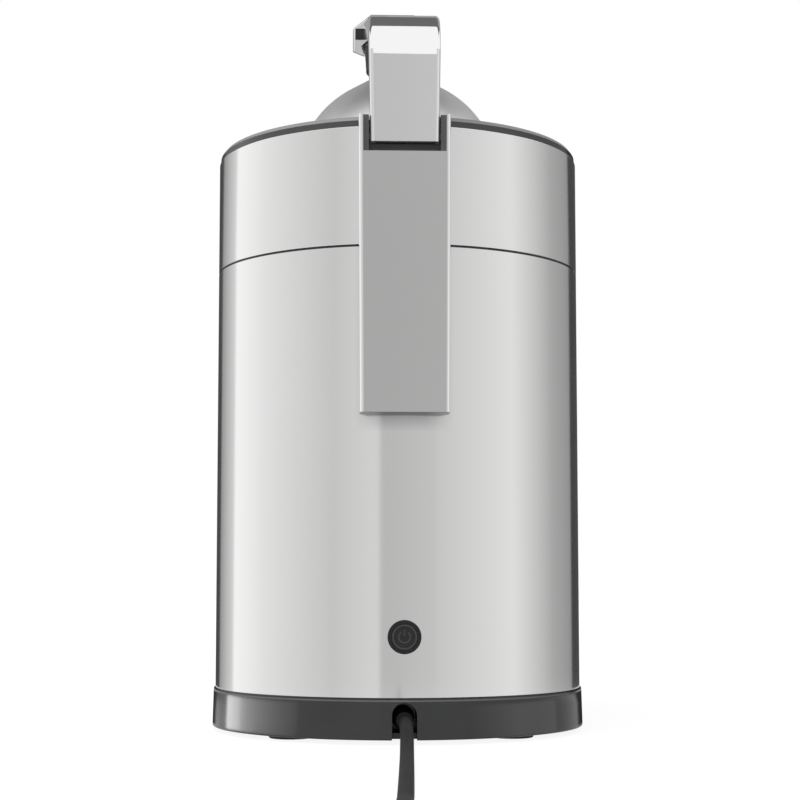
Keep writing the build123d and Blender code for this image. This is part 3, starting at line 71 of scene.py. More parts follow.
# %% Place the camera
camera_place = (-0.0291, axis_y - 0.8415, 0.0729)
camera_yaw = radians(-1.98)
camera_rise = radians(4.83)
bpy.ops.object.select_all(action="DESELECT")
bpy.ops.object.camera_add(location=camera_place, rotation=(pi / 2 + camera_rise, 0, camera_yaw))
camera = bpy.context.object
camera.name = "rear_camera"
camera.data.sensor_width = 36
camera.data.lens = 77.7
camera.data.shift_x = 0.0031
camera.data.shift_y = 0.0374
camera.data.clip_start = 0.01
bpy.context.scene.camera = camera
bpy.context.scene.view_settings.view_transform = "Standard"
print("camera at", [round(x, 3) for x in camera.location])

# %% [markdown]
# ## The mains lead
# The lead leaves a tapered relief in the arch, drops to the worktop and runs straight back out of the
# picture. What the picture doesn't show is wound into a flat coil with a tie. It could be built of bent
# tubes, but one smooth curve takes the whole line: its control points are the route's own points, and
# for each half turn six points just outside the turn, so that the curve touches the turn between them.

# %% Route of the lead
lead_radius = 2.8 * MM
gland_face = 87.5
gland_level = 10.4
worktop_level = 3.15
coil_level = 3.85
coil_side = -20
coil_line = 400
# millimetres aside, behind the body's axis, and over the worktop
route = [
    (0, gland_face, gland_level),
    (0, 114, gland_level),
    (-1.5, 152, worktop_level),
    (-4.6, 226, worktop_level),
    (-9.3, 332, worktop_level),
    (coil_side, 376, coil_level),
    (coil_side, coil_line, coil_level),
]
lead_points = [(aside * MM, axis_y - behind * MM, over * MM) for aside, behind, over in route]

# %% Half turns of the coil
turn_pitch = 6.1 * MM
outer_turn = 36.3 * MM
turn_line = axis_y - coil_line * MM - 2 * lead_radius
turn_radii = [outer_turn - turn_pitch / 2 * step for step in (0, 1, 2, 3, 4, 3, 2, 1)]
climbing_turn = 4
half_turn_points = 6
spread = 1 / cos(pi / (2 * half_turn_points))


def turn_points(count, start_x, side, radius, level, rise):
    """Control points of a turn that starts at start_x and rises while it turns."""
    points = []
    for step in range(count):
        angle = (step + 0.5) * pi / half_turn_points
        points.append((
            start_x + side * radius * (1 - spread * cos(angle)),
            turn_line - side * spread * radius * sin(angle),
            level + rise * (1 - cos(angle)) / 2,
        ))
    return points


end_x = coil_side * MM
level = coil_level * MM
side = 1
for count, radius in enumerate(turn_radii):
    rise = turn_pitch if count == climbing_turn else 0
    lead_points += turn_points(half_turn_points, end_x, side, radius, level, rise)
    end_x += 2 * side * radius
    level += rise
    side = -side
print("control points so far:", len(lead_points))

# %% Last quarter turn and the tail to the plug
plug_level = 6.87 * MM
tail_x = end_x + outer_turn
tail_y = turn_line - outer_turn
lead_points += turn_points(half_turn_points // 2, end_x, side, outer_turn, level, 0)
# millimetres beyond the turn, and the height there
for beyond, over in ((14, level), (30, plug_level), (38, plug_level)):
    lead_points.append((tail_x + beyond * MM, tail_y, over))
print("control points with the tail:", len(lead_points))

# %% One spline for the whole lead
lead_curve = bpy.data.curves.new("mains_lead", "CURVE")
lead_curve.dimensions = "3D"
lead_curve.bevel_depth = 1
lead_curve.bevel_resolution = 6
lead_curve.resolution_u = 8
lead_curve.use_fill_caps = True
lead_line = lead_curve.splines.new("NURBS")
lead_line.points.add(len(lead_points) - 1)
for point, place in zip(lead_line.points, lead_points):
    point.co = (*place, 1)
    point.radius = lead_radius
lead_line.order_u = 3
lead_line.use_endpoint_u = True
mains_lead = bpy.data.objects.new("mains_lead", lead_curve)
bpy.context.scene.collection.objects.link(mains_lead)
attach(mains_lead, "casing")
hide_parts("mains_cord", "cord_coil")
print("lead laid as one spline of", len(lead_line.points), "points")

# %% [markdown]
# ## Finishes as Python sums
# A material is a small graph of nodes. It could be wired by hand, node by node. Wrapping a socket in a
# class lets a mask be written as an ordinary sum or product instead, and one method makes every other
# node, so each finish reads as a short recipe.


# %% A socket that can be added and multiplied
class Flow:
    """A shader socket that takes part in sums, differences and products."""

    def __init__(self, graph, socket):
        self.graph = graph
        self.socket = socket

    def maths(self, operation, first, second):
        return self.graph.node("ShaderNodeMath", {"operation": operation}, {0: first, 1: second})

    def __add__(self, other):
        return self.maths("ADD", self, other)

    def __mul__(self, other):
        return self.maths("MULTIPLY", self, other)

    def __sub__(self, other):
        return self.maths("SUBTRACT", self, other)

    def __rsub__(self, other):
        return self.maths("SUBTRACT", other, self)

    __radd__ = __add__
    __rmul__ = __mul__


# %% A graph and the nodes in it
class Graph:
    """A tree of nodes and the shader that they feed."""

    def __init__(self, tree, shader):
        self.tree = tree
        self.shader = tree.nodes[shader]

    def feed(self, socket, value):
        if isinstance(value, Flow):
            self.tree.links.new(value.socket, socket)
        else:
            socket.default_value = value

    def surface(self, socket, value):
        self.feed(self.shader.inputs[socket], value)

    def node(self, kind, settings, inputs, output=0):
        made = self.tree.nodes.new(kind)
        for key, value in settings.items():
            setattr(made, key, value)
        for key, value in inputs.items():
            self.feed(made.inputs[key], value)
        return Flow(self, made.outputs[output])

    def ray(self, kind):
        """1 for rays of one kind, 0 for the others."""
        return self.node("ShaderNodeLightPath", {}, {}, kind)

    def tint(self, mask, dark, light):
        """A colour between two by a mask."""
        return self.node("ShaderNodeMix", {"data_type": "RGBA"}, {0: mask, 6: dark, 7: light}, 2)

    def ramp(self, value, start, end):
        """0 up to the start, 1 from the end on, and a straight rise between."""
        return self.node("ShaderNodeMapRange", {}, {0: value, 1: start, 2: end, 3: 0.0, 4: 1.0})


# %% A finish that knows places on its piece
edge_blur = 0.1 * MM


class Finish(Graph):
    """One material, with the places and patterns that its masks are made of."""

    def __init__(self, name, **constants):
        self.material = bpy.data.materials.new(name)
        self.material.use_nodes = True
        super().__init__(self.material.node_tree, "Principled BSDF")
        for key, value in constants.items():
            self.surface(key.replace("_", " "), value)

    def place(self, stretch=(1, 1, 1)):
        """The point on the piece, in metres, with each axis stretched."""
        here = self.node("ShaderNodeTexCoord", {}, {}, "Object")
        return self.node("ShaderNodeMapping", {}, {"Vector": here, "Scale": stretch})

    def along(self, axis):
        """The point's place along one axis: 0 for x, 1 for y, 2 for z."""
        return self.node("ShaderNodeSeparateXYZ", {}, {0: self.place()}, axis)

    def height(self):
        """The point's height over the worktop."""
        return self.along(2)

    def off_middle(self):
        """The point's distance from the middle plane, to either side."""
        return self.node("ShaderNodeMath", {"operation": "ABSOLUTE"}, {0: self.along(0)})

    def rear(self):
        """1 on the rear half of the body, 0 on the front half."""
        return 1 - self.ramp(self.along(1), axis_y, axis_y + edge_blur)

    def noise(self, scale, detail=3, stretch=(1, 1, 1)):
        inputs = {"Vector": self.place(stretch), "Scale": scale, "Detail": detail}
        return self.node("ShaderNodeTexNoise", {}, inputs)

    def relief(self, height, strength, depth):
        bump = self.node("ShaderNodeBump", {}, {"Height": height, "Strength": strength, "Distance": depth})
        self.surface("Normal", bump)


# %% Greys
def grey(value, warm=0.0):
    """An opaque grey, a little warm or cool."""
    return (value * (1 + warm), value, value * (1 - warm), 1)


def dark_grey(value):
    """The slightly cool grey of the moulded pieces."""
    return grey(value, -0.02)


print("finish kit ready")

# %% [markdown]
# ## Finishes for every slot
# Metals are mirrors with a little blur, and what they show is the studio round them. Most plastics are
# dark, and many have a faint moulded grain. Each recipe varies its colour and its blur with noise in the
# piece's own coordinates, so that no surface is one flat tone. A picture could be wrapped round the
# pieces instead, but noise needs no seams and is as fine as the view asks.

# %% Recipe for a metal
finishes = {}
blotch_scale = 14
grain_share = 0.6
blotch_share = 0.4
blotch_blur = 0.05
grain_blur = 0.03
# the noise adds this much blur on average
blur_offset = 0.04


def metal(name, colour, blur, grain=400, stretch=(1, 1, 1), wear=0.03):
    """A metal whose tone and blur wander a little."""
    finish = Finish(name, Metallic=1.0)
    grain_mask = finish.noise(grain, detail=4, stretch=stretch)
    cloud = finish.noise(blotch_scale, detail=2)
    dark = tuple(part * (1 - wear) for part in colour[:3]) + (1,)
    finish.tone = finish.tint(grain_mask * grain_share + cloud * blotch_share, dark, colour)
    finish.surface("Base Color", finish.tone)
    finish.surface("Roughness", cloud * blotch_blur + grain_mask * grain_blur + (blur - blur_offset))
    finishes[name] = finish
    return finish


# %% Recipe for a plastic
flow_scale = 25
flow_blur = 0.08
grain_scale = 1500
grain_depth = 0.05 * MM


def plastic(name, colour, blur, grain=0.0, lift=1.25, shine=0.5):
    """A moulded plastic or rubber, with a fine grain where one is given."""
    finish = Finish(name, IOR=1.5, Specular_IOR_Level=shine)
    finish.cloud = finish.noise(flow_scale)
    light = tuple(part * lift for part in colour[:3]) + (1,)
    finish.surface("Base Color", finish.tint(finish.cloud, colour, light))
    finish.surface("Roughness", finish.cloud * flow_blur + (blur - blur_offset))
    if grain:
        finish.relief(finish.noise(grain_scale, detail=2), grain, grain_depth)
    finishes[name] = finish
    return finish


# %% Fill the slots
steel_grey = grey(0.88, 0.004)
brushed = {"grain": 2200, "stretch": (1, 1, 0.08)}
metal("satin_steel", steel_grey, 0.13, **brushed)
metal("bright_steel", grey(0.78, 0.006), 0.2)
metal("dome_steel", grey(0.95, 0.004), 0.42, 900)
metal("motor_steel", grey(0.55, 0.02), 0.38, 300, wear=0.2)
metal("chrome", grey(0.91), 0.05, wear=0.01)
metal("bronze", (0.62, 0.38, 0.18, 1), 0.34, wear=0.15)
metal("brass", (0.80, 0.62, 0.30, 1), 0.22, wear=0.08)
plastic("dark_plastic", dark_grey(0.030), 0.36, 0.15)
plastic("dark_gloss", dark_grey(0.050), 0.14)
plastic("black_plastic", grey(0.014), 0.42, 0.2)
plastic("gear_plastic", (0.72, 0.69, 0.60, 1), 0.42, 0.1, lift=1.1)
plastic("foot_rubber", grey(0.020), 0.7, 0.4)
plastic("cord_rubber", grey(0.008), 0.6, 0.25, shine=0.2)
plastic("hinge_plastic", dark_grey(0.065), 0.3, 0.1)
plastic("switch_plastic", dark_grey(0.010), 0.34, 0.1, shine=0.3)
plastic("sign_paint", dark_grey(0.045), 0.4)
plastic("dark_pin", grey(0.07), 0.6, shine=0.1)
print("finishes:", len(finishes))

# %% [markdown]
# ## The plinth's painted highlight
# The plinth is a glossy dark moulding, and just under its top edge its rounded lip shows a fine
# highlight. A groove could be cut there, but the line is little over a pixel wide, so the highlight is
# painted as two ramps of the height, one where it starts and one where it ends.

# %% A painted highlight along the plinth's top
plinth_top = shell_low[2]
highlight_low_edge = plinth_top - 1.8 * MM
highlight_high_edge = plinth_top - 1.1 * MM
line_blur = 0.3 * MM
plinth_highlight_strength = 0.8
ground_tone = 0.1
ground_flow = 0.08
plinth_dark = dark_grey(0.012)
plinth_light = dark_grey(0.110)
plinth = plastic("plinth_plastic", plinth_dark, 0.2)
# Painted highlight: between the two ramps a fine lighter band lies just under the top edge; the strip
# above it gets no ground tone and stays darker.
above_highlight_low = plinth.ramp(plinth.height(), highlight_low_edge, highlight_low_edge + line_blur)
above_highlight_high = plinth.ramp(plinth.height(), highlight_high_edge, highlight_high_edge + line_blur)
plinth_ground = ground_tone + plinth.cloud * ground_flow
plinth_tone = (above_highlight_low - above_highlight_high) * plinth_highlight_strength + (1 - above_highlight_high) * plinth_ground
plinth.surface("Base Color", plinth.tint(plinth_tone, plinth_dark, plinth_light))
print("plinth top at", round(plinth_top, 4))

# %% [markdown]
# ## The rim's two tones
# The ring round the top is dark, and in the picture its slanted upper side is mid grey. Two materials
# on two sets of faces would do, but one ramp of the height needs no selection of faces.

# %% A lighter slant on the rim
rim_slant = 2.0 * MM
rim_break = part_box("rim_ring")[1][2] - rim_slant
slant_tone = 0.8
slant_flow = 0.2
rim_dark = dark_grey(0.050)
rim_light = dark_grey(0.30)
rim = plastic("rim_plastic", rim_dark, 0.16)
slant = rim.ramp(rim.height(), rim_break - edge_blur, rim_break + edge_blur)
slant_mask = slant * (slant_tone + rim.cloud * slant_flow)
rim.surface("Base Color", rim.tint(slant_mask, rim_dark, rim_light))
print("rim changes tone at", round(rim_break, 4))

# %% [markdown]
# ## The spine's painted edge highlights and painted foot shade
# The spine is a steel cover with a flange at either side. Its long edges carry a painted highlight, and
# the edge at its foot a painted shade of the gap under it. Strips of their own could be laid along them,
# but both follow from how far a point lies inside the cover's outline, so the masks are sums of the
# point's own place.

# %% Painted highlights on the spine's edges and painted shade at its foot
spine_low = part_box("spine_cover")[0][2]
spine_foot_half = 19.65 * MM
spine_widening = 0.006
spine = metal("spine_steel", grey(0.70, 0.004), 0.22, **brushed)
inside = spine_foot_half + (spine.height() - spine_low) * spine_widening - spine.off_middle()
edge_highlight_core = 0.9 * MM
edge_highlight_reach = 1.9 * MM
# Painted highlight: the spine's long edges turn white.
edge_highlight_mask = 1 - spine.ramp(inside, edge_highlight_core, edge_highlight_reach)
foot_shade_edge = 0.03 * MM
foot_shade_reach = 0.12 * MM
# Painted shade: a thin dark line at the spine's foot, where the gap under it lies in shadow.
foot_shade_mask = spine.ramp(spine.height(), spine_low + foot_shade_edge, spine_low + foot_shade_reach)
edge_highlight_tone = grey(1.0)
foot_shade_tone = grey(0.10)
spine_highlit_tone = spine.tint(edge_highlight_mask, spine.tone, edge_highlight_tone)
spine.surface("Base Color", spine.tint(foot_shade_mask, foot_shade_tone, spine_highlit_tone))
print("spine foot at", round(spine_low, 4))

# %% [markdown]
# ## The shade under the spine
# In the picture a soft shade lies on the shell under the spine's foot. The studio's light is too even to
# cast it, so it is painted into the shell's finish, by the point's own place on the shell.

# %% A soft shade on the shell
shade_depth = 8 * MM
shade_core = 9 * MM
shade_reach = 22 * MM
shade_strength = 0.45
shade_tone = grey(0.02)
shell = metal("shell_steel", steel_grey, 0.13, **brushed)
shade = shell.ramp(shell.height(), spine_low - shade_depth, spine_low)
shade = shade * (1 - shell.ramp(shell.off_middle(), shade_core, shade_reach)) * shell.rear()
shell.surface("Base Color", shell.tint(shade * shade_strength, shell.tone, shade_tone))
print("shade under the spine from", round(spine_low - shade_depth, 4))

# %% [markdown]
# ## The painted shade behind the lever's foot
# The gap under the lever lies in shade, an even dark grey. The band lies behind it, and bare steel would
# mirror black and white there. A thin plate could be added, but the shade is painted: inside a small
# field the band is dark and no longer a metal.

# %% A painted shade on the band
gap_shade_half = 16.4 * MM
gap_shade_low = 259 * MM
gap_shade_high = 268 * MM
gap_shade_tone = grey(0.075)
band = metal("band_steel", steel_grey, 0.13, **brushed)
# Painted shade: a dark grey, non-metal field where the gap under the lever lies in shade.
gap_shade = 1 - band.ramp(band.off_middle(), gap_shade_half, gap_shade_half + edge_blur)
gap_shade = gap_shade * band.ramp(band.height(), gap_shade_low, gap_shade_low + edge_blur)
gap_shade = gap_shade * (1 - band.ramp(band.height(), gap_shade_high, gap_shade_high + edge_blur)) * band.rear()
band.surface("Base Color", band.tint(gap_shade, band.tone, gap_shade_tone))
band.surface("Metallic", 1 - gap_shade)
print("backing between", round(gap_shade_low, 4), "and", round(gap_shade_high, 4))

# %% [markdown]
# ## The button's painted rim highlight
# The button's rounded rim shows a fine painted highlight near its edge. A hoop could be laid there, but
# the ring is only about a pixel wide, so it is painted: the distance from the button's axis is the length
# of the point's place with the depth left out, and two ramps of it bound the ring.

# %% A painted highlight ring on the button
button_low, button_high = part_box("power_button")
switch_level = (button_low[2] + button_high[2]) / 2
button_dark = dark_grey(0.014)
button_light = dark_grey(0.060)
button = plastic("button_plastic", button_dark, 0.34, 0.1, shine=0.3)
button_here = button.node("ShaderNodeTexCoord", {}, {}, "Object")
from_axis = button.node(
    "ShaderNodeMapping",
    {},
    {"Vector": button_here, "Location": (0, 0, -switch_level), "Scale": (1, 0, 1)},
)
axis_distance = button.node("ShaderNodeVectorMath", {"operation": "LENGTH"}, {0: from_axis}, 1)
highlight_inner_edge = (4.6 * MM, 4.9 * MM)
highlight_outer_edge = (5.3 * MM, 5.5 * MM)
button_highlight_strength = 0.8
button_flow = 0.1
# Painted highlight: a lighter ring on the button's rounded rim, with the moulded flow added to it.
highlight_inner_mask = button.ramp(axis_distance, *highlight_inner_edge)
highlight_outer_mask = button.ramp(axis_distance, *highlight_outer_edge)
button_tone_and_highlight = (highlight_inner_mask - highlight_outer_mask) * button_highlight_strength + button.cloud * button_flow
button.surface("Base Color", button.tint(button_tone_and_highlight, button_dark, button_light))
print("switch at height", round(switch_level, 4))

# %% [markdown]
# ## Copies with shared corners
# The model's meshes are loose triangles, so light breaks at every facet. A copy whose corners are
# merged can be shaded smooth wherever two faces meet at a small angle, and the copy stands in for the
# node it came from. Changing the node itself would be shorter, but the model's own meshes stay as they
# were packed.

# %% Merge a copy of a node and shade it
merge_gap = 0.000002
crease_angle = radians(32)


def smooth_copy(name):
    """A merged, smoothly shaded copy of a node, without the node's own marks."""
    bpy.ops.object.select_all(action="DESELECT")
    nodes[name].select_set(True)
    bpy.context.view_layer.objects.active = nodes[name]
    bpy.ops.object.duplicate()
    piece = bpy.context.object
    piece.name = name + "_skin"
    piece.parent = None
    for key in list(piece.keys()):
        del piece[key]
    piece.data.materials.clear()
    bpy.ops.object.mode_set(mode="EDIT")
    bpy.ops.mesh.select_all(action="SELECT")
    bpy.ops.mesh.remove_doubles(threshold=merge_gap)
    bpy.ops.object.mode_set(mode="OBJECT")
    if piece.data.has_custom_normals:
        bpy.ops.mesh.customdata_custom_splitnormals_clear()
    bpy.ops.object.shade_smooth_by_angle(angle=crease_angle)
    return piece


# %% [markdown]
# ## Dress the pieces
# Most pieces that can be seen get a smooth copy, with a finish of their own or that of their slot. The
# others, such as the motor, the screws and the plug, keep their own meshes and only take a finish,
# because they are hidden or too small for their facets to show.

# %% Put a finish on a piece
body_rows = frame["record"]["behaviour"]["bodies"]
body_of = {name: body for body, names in body_rows.items() for name in names}
slot_of = {row["node"]: row["material_slot"] for row in frame["record"]["subparts"]}


def dress(piece, finish):
    piece.data.materials.clear()
    piece.data.materials.append(finishes[finish].material)


def dress_copy(name, finish=None):
    """A smooth copy of a node, dressed, riding on the node's body and standing in for it."""
    piece = smooth_copy(name)
    dress(piece, finish or slot_of[name])
    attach(piece, body_of[name])
    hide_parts(name)
    return piece


for name, node in nodes.items():
    dress(node, slot_of[name])
dress(mains_lead, "cord_rubber")
dress(nodes["hinge_pin"], "dark_pin")
print("pieces with the finish of their slot:", len(nodes))

# %% Visible pieces
seen = (
    "base_plinth housing_shell collector_band rim_ring spine_cover hinge_block lever_core lever_arm "
    "lever_grip grip_inserts dome_holder press_dome dome_liner juice_bowl strainer reamer_cone outlet "
    "spout switch_bezel power_button cord_gland bottom_cover foot_rear_left foot_rear_right "
    "foot_front_left foot_front_right"
).split()
own_finish = {
    "base_plinth": "plinth_plastic",
    "press_dome": "dome_steel",
    "spine_cover": "spine_steel",
    "hinge_block": "hinge_plastic",
    "rim_ring": "rim_plastic",
    "switch_bezel": "switch_plastic",
    "power_button": "button_plastic",
    "collector_band": "band_steel",
    "housing_shell": "shell_steel",
}
skins = [dress_copy(name, own_finish.get(name)) for name in seen]
print("copies:", len(skins))

# %% [markdown]
# ## The spring under the shaft
# In this model, pressing a fruit pushes the shaft down by two millimetres on a spring, and that starts
# the motor. The spring gets a smooth copy with a mesh of its own; the copy is stiff, and with the travel
# it would stick into the cup above it.

# %% Copy the spring with a mesh of its own
spring = dress_copy("return_spring")
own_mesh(spring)

# %% [markdown]
# ## The sign on the button
# The dished button gets the usual sign for on and off, a ring open at the top with a bar in the gap. It
# could be a picture, but a raised sign keeps its shape as a mesh. The ring is a small
# rectangle turned about the button's axis, and the bar is a slim block with its edges taken off.

# %% Sizes of the sign
sign_line = 0.45 * MM
sign_radius = 2.5 * MM
sign_gap = radians(36)
sign_height = 0.12 * MM
sign_steps = 36
button_dish = 0.4 * MM
sign_floor = button_low[1] + button_dish
sign_centre = (0, sign_floor, switch_level)
print("sign on the floor of the dish at y", round(sign_floor, 5))

# %% Turn the ring
bpy.ops.object.select_all(action="DESELECT")
bpy.ops.mesh.primitive_plane_add(size=1, rotation=(0, pi / 2, 0))
power_sign = bpy.context.object
power_sign.name = "power_sign"
bpy.ops.object.transform_apply()
bpy.ops.object.mode_set(mode="EDIT")
bpy.ops.transform.resize(value=(1, 2 * sign_height, sign_line))
bpy.ops.transform.translate(value=(0, sign_floor, switch_level + sign_radius))
bpy.ops.transform.rotate(value=sign_gap, orient_axis="Y", center_override=sign_centre)
bpy.ops.mesh.spin(steps=sign_steps, angle=2 * pi - 2 * sign_gap, center=sign_centre, axis=(0, 1, 0))
print("ring turned in", sign_steps, "steps")

# %% Stand the bar in it and close the mesh
bar_rise = 0.75 * sign_radius
bar_round = 0.2 * sign_height
bar_centre = (0, sign_floor, switch_level + bar_rise)
sign_merge_gap = 0.000001
sign_crease = radians(30)
bpy.ops.mesh.select_all(action="DESELECT")
bpy.ops.mesh.primitive_cube_add(size=1, location=bar_centre)
bpy.ops.transform.resize(value=(sign_line, 2 * sign_height, sign_radius))
bpy.ops.mesh.bevel(offset=bar_round, segments=2)
bpy.ops.mesh.select_all(action="SELECT")
bpy.ops.mesh.remove_doubles(threshold=sign_merge_gap)
bpy.ops.mesh.fill_holes(sides=4)
bpy.ops.mesh.normals_make_consistent(inside=False)
bpy.ops.object.mode_set(mode="OBJECT")
bpy.ops.object.shade_smooth_by_angle(angle=sign_crease)
bpy.context.view_layer.update()
dress(power_sign, "sign_paint")
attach(power_sign, body_of["power_button"])
print("sign spans", [round(x, 5) for x in power_sign.dimensions])

# %% [markdown]
# ## The floor and the sky
# The picture's ground is white. The camera sees a white floor and a white sky. Reflections see the white
# sky too, but a pale grey floor, so that the steel doesn't turn white when it is seen from above. The
# floor takes the soft shadow. More light would whiten it too, but it would bleach the juicer, so the
# white is the paper's own glow.

# %% A pale floor
floor_gap = 0.2 * MM
floor_size = 8
floor_mirrored = 0.62
near_edge = 0.2
far_edge = 0.8
near_tone = grey(0.9)
far_tone = grey(1.0)
paper_scale = 3
bpy.ops.object.select_all(action="DESELECT")
bpy.ops.mesh.primitive_plane_add(size=floor_size, location=(0, 0, -floor_gap))
floor = bpy.context.object
floor.name = "floor"
bpy.ops.object.transform_apply()
paper = Finish("floor_paper", Roughness=1.0, Specular_IOR_Level=0.0, Emission_Strength=1.0)
camera_ray = paper.ray("Is Camera Ray")
glossy_ray = paper.ray("Is Glossy Ray")
clear_ray = paper.ray("Is Transmission Ray")
far_off = paper.node("ShaderNodeVectorMath", {"operation": "LENGTH"}, {0: paper.place()}, 1)
paper_tone = paper.tint(paper.ramp(far_off, near_edge, far_edge), near_tone, far_tone)
mirrored_tone = paper.tint(glossy_ray, grey(0.0), grey(floor_mirrored))
paper.surface("Base Color", paper.tint(paper.noise(paper_scale, detail=2), grey(0.16), grey(0.17)))
paper.surface("Emission Color", paper.tint(camera_ray + clear_ray, mirrored_tone, paper_tone))
floor.data.materials.append(paper.material)
print("floor laid", floor_gap, "under the feet")

# %% A white sky
sky_light = grey(0.45)
sky_shown = grey(1.0)
world = bpy.data.worlds.new("studio_sky")
world.use_nodes = True
sky = Graph(world.node_tree, "Background")
shown = sky.ray("Is Camera Ray") + sky.ray("Is Glossy Ray") + sky.ray("Is Transmission Ray")
sky.surface("Color", sky.tint(shown, sky_light, sky_shown))
bpy.context.scene.world = world
print("sky ready")

# %% [markdown]
# ## The paper panels
# What shapes the steel is a ring of paper panels that only reflections see: white at the left, greys in
# front and at the right, and dark strips behind, which draw the edges. In a studio they would be cards
# on stands. Each is an upright line spun round the body's axis, and glows in a grey that runs from one
# end to the other.


# %% A card that only reflections see
def hide_card(piece, card):
    """Give a card its paper, and leave it to reflections alone."""
    piece.data.materials.append(card.material)
    piece.visible_camera = False
    piece.visible_diffuse = False
    piece.visible_shadow = False


def card_paper(name):
    """A black paper that only glows."""
    return Finish(name, Base_Color=grey(0.0), Roughness=1.0, Specular_IOR_Level=0.0, Emission_Strength=1.0)


# %% A glow that runs round the axis
def round_glow(card, start, end, first, last):
    """Let a card glow in a grey that runs from one angle to the other."""
    here = card.node("ShaderNodeTexCoord", {}, {}, "Object")
    quarter = {"Vector": here, "Location": (axis_y, 0, 0), "Rotation": (0, 0, pi / 2)}
    turned = card.node("ShaderNodeMapping", {}, quarter)
    angle = card.node("ShaderNodeTexGradient", {"gradient_type": "RADIAL"}, {"Vector": turned}, 1)
    # the gradient is 0.5 on the camera's side, and a full turn is 1
    share = card.ramp(angle, start / 360 + 0.5, end / 360 + 0.5)
    card.surface("Emission Color", card.tint(share, grey(first), grey(last)))


# %% A panel round the body's axis
degrees_a_step = 3


def panel(name, start, end, first, last, radius=0.3, low=0.0, high=0.425, inward=0.0):
    """A curved card between two angles, in degrees from the camera's side.

    Inward leans its top towards the axis, which makes a level card a shelf.
    """
    out_x = sin(radians(start))
    out_y = -cos(radians(start))
    bpy.ops.object.select_all(action="DESELECT")
    bpy.ops.mesh.primitive_plane_add(size=1, location=(0, 0, 0))
    piece = bpy.context.object
    piece.name = name
    bpy.ops.object.mode_set(mode="EDIT")
    bpy.ops.mesh.merge(type="CENTER")
    bpy.ops.transform.translate(value=(radius * out_x, axis_y + radius * out_y, low))
    lift = (-inward * out_x, -inward * out_y, high - low)
    bpy.ops.mesh.extrude_vertices_move(TRANSFORM_OT_translate={"value": lift})
    bpy.ops.mesh.select_all(action="SELECT")
    bpy.ops.mesh.spin(
        steps=max(2, round(abs(end - start) / degrees_a_step)),
        angle=radians(start - end),
        center=(0, axis_y, 0),
        axis=(0, 0, 1),
    )
    bpy.ops.object.mode_set(mode="OBJECT")
    card = card_paper(name)
    round_glow(card, start, end, first, last)
    hide_card(piece, card)


# %% The ring of walls
back_wall = {"high": 0.36}
# name, the angles and the greys where it starts and ends, and how it differs from a full wall
walls = [
    ("left_white", -111, -85, 1.05, 0.9, {}),
    ("left_wall", -85, -35, 0.88, 0.62, {}),
    ("left_near", -35, -11, 0.63, 0.74, {}),
    ("camera_flag", -11, 18, 0.53, 0.61, {"high": 0.385}),
    ("right_wall", 18, 63, 0.64, 0.84, {}),
    ("right_flag", 63, 97, 0.84, 0.43, {}),
    ("right_grey", 97, 123, 0.43, 0.31, {}),
    ("back_right", 123, 150, 0.05, 0.08, back_wall),
    ("back_middle", 150, 180, 0.35, 0.55, back_wall),
    ("back_centre", -180, -163, 0.55, 0.35, back_wall),
    ("back_left", -163, -136, 0.08, 0.05, back_wall),
    ("back_high", 110, 250, 0.34, 0.45, {"low": 0.36, "high": 0.72}),
    ("left_grey", -136, -111, 0.28, 0.72, {}),
]
for name, start, end, first, last, shape in walls:
    panel(name, start, end, first, last, **shape)
print("walls:", len(walls))

# %% [markdown]
# ## Low cards for the plinth
# The plinth's gloss shows a bright strip at the left, a faint glow at the right and dark ends. Low
# cards close to it give these. Flat shelves lie over them in the tone of the mirrored floor, so that the
# steel above doesn't mirror the cards when it is seen from higher up.

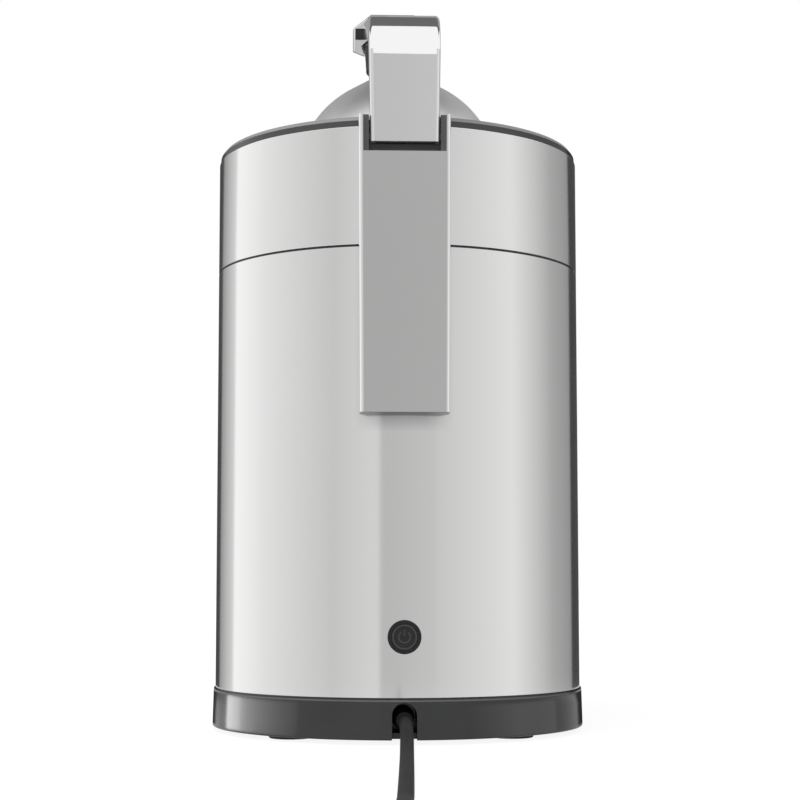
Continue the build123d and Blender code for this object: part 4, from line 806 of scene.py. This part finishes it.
# %% Cards and shelves round the plinth
low_ring = {"radius": 0.1, "high": 0.0182}
shelf_ring = {"radius": 0.1005, "low": 0.0185, "high": 0.0185, "inward": 0.0113}
low_cards = [
    ("plinth_left_end", -128, -95, 0.03, 0.03),
    ("plinth_strip", -77, -65, 5.4, 5.4),
    ("plinth_glow", -65, -36, 4.0, 1.1),
    ("plinth_right_rise", 20, 40, 0.65, 1.35),
    ("plinth_right_glow", 40, 62, 1.35, 0.9),
    ("plinth_right", 62, 87, 0.55, 0.66),
    ("plinth_right_end", 87, 128, 0.03, 0.03),
]
for name, start, end, first, last in low_cards:
    panel(name, start, end, first, last, **low_ring)
for name, start, end in (("left_shelf", -130, -33), ("right_shelf", 17, 130)):
    panel(name, start, end, floor_mirrored, floor_mirrored, **shelf_ring)
print("low cards:", len(low_cards))

# %% [markdown]
# ## A grey ceiling
# Where the lever bends from upright to level its chrome mirrors what hangs over it. A grey card there
# draws the dark strip along the lever's top, which an open white sky would wash out.

# %% Hang the ceiling
ceiling_place = (0, axis_y + 0.11, 0.72)
ceiling_size = (0.9, 0.4, 1)
ceiling_dark = grey(0.13)
ceiling_light = grey(0.16)
bpy.ops.object.select_all(action="DESELECT")
bpy.ops.mesh.primitive_plane_add(size=1, location=ceiling_place)
ceiling = bpy.context.object
ceiling.name = "ceiling"
ceiling.scale = ceiling_size
bpy.ops.object.transform_apply()
ceiling_card = card_paper("ceiling")
ceiling_cloud = ceiling_card.noise(paper_scale, detail=2)
ceiling_card.surface("Emission Color", ceiling_card.tint(ceiling_cloud, ceiling_dark, ceiling_light))
hide_card(ceiling, ceiling_card)
print("ceiling at", ceiling_place[2])

# %% [markdown]
# ## The lamps
# The steel is lit by what it mirrors, so the lamps are there for the dark plastics and the soft shadow
# alone. Three square lamps do, from above, from the side and from over the camera, and reflections
# don't show them.

# %% A lamp that looks at the juicer
lamp_aim = (0, axis_y, 0.15)


def lamp(name, place, size, power):
    """A soft square lamp that looks at the middle of the juicer."""
    bpy.ops.object.select_all(action="DESELECT")
    bpy.ops.object.light_add(type="AREA", location=place)
    light = bpy.context.object
    light.name = name
    light.data.size = size
    light.data.energy = power
    way = [there - here for there, here in zip(lamp_aim, place)]
    flat = sqrt(way[0] ** 2 + way[1] ** 2)
    light.rotation_euler = (atan2(flat, -way[2]), 0, atan2(way[1], way[0]) - pi / 2)
    light.visible_glossy = False


# %% Hang the lamps
fill_rise = 0.05
over_camera = (camera_place[0], camera_place[1], camera_place[2] + fill_rise)
lamp("top_lamp", (-0.3, -0.5, 1.4), size=0.9, power=9)
lamp("side_lamp", (-1.1, -0.9, 0.6), size=0.6, power=5)
lamp("fill_lamp", over_camera, size=0.2, power=2.5)
print("studio ready")
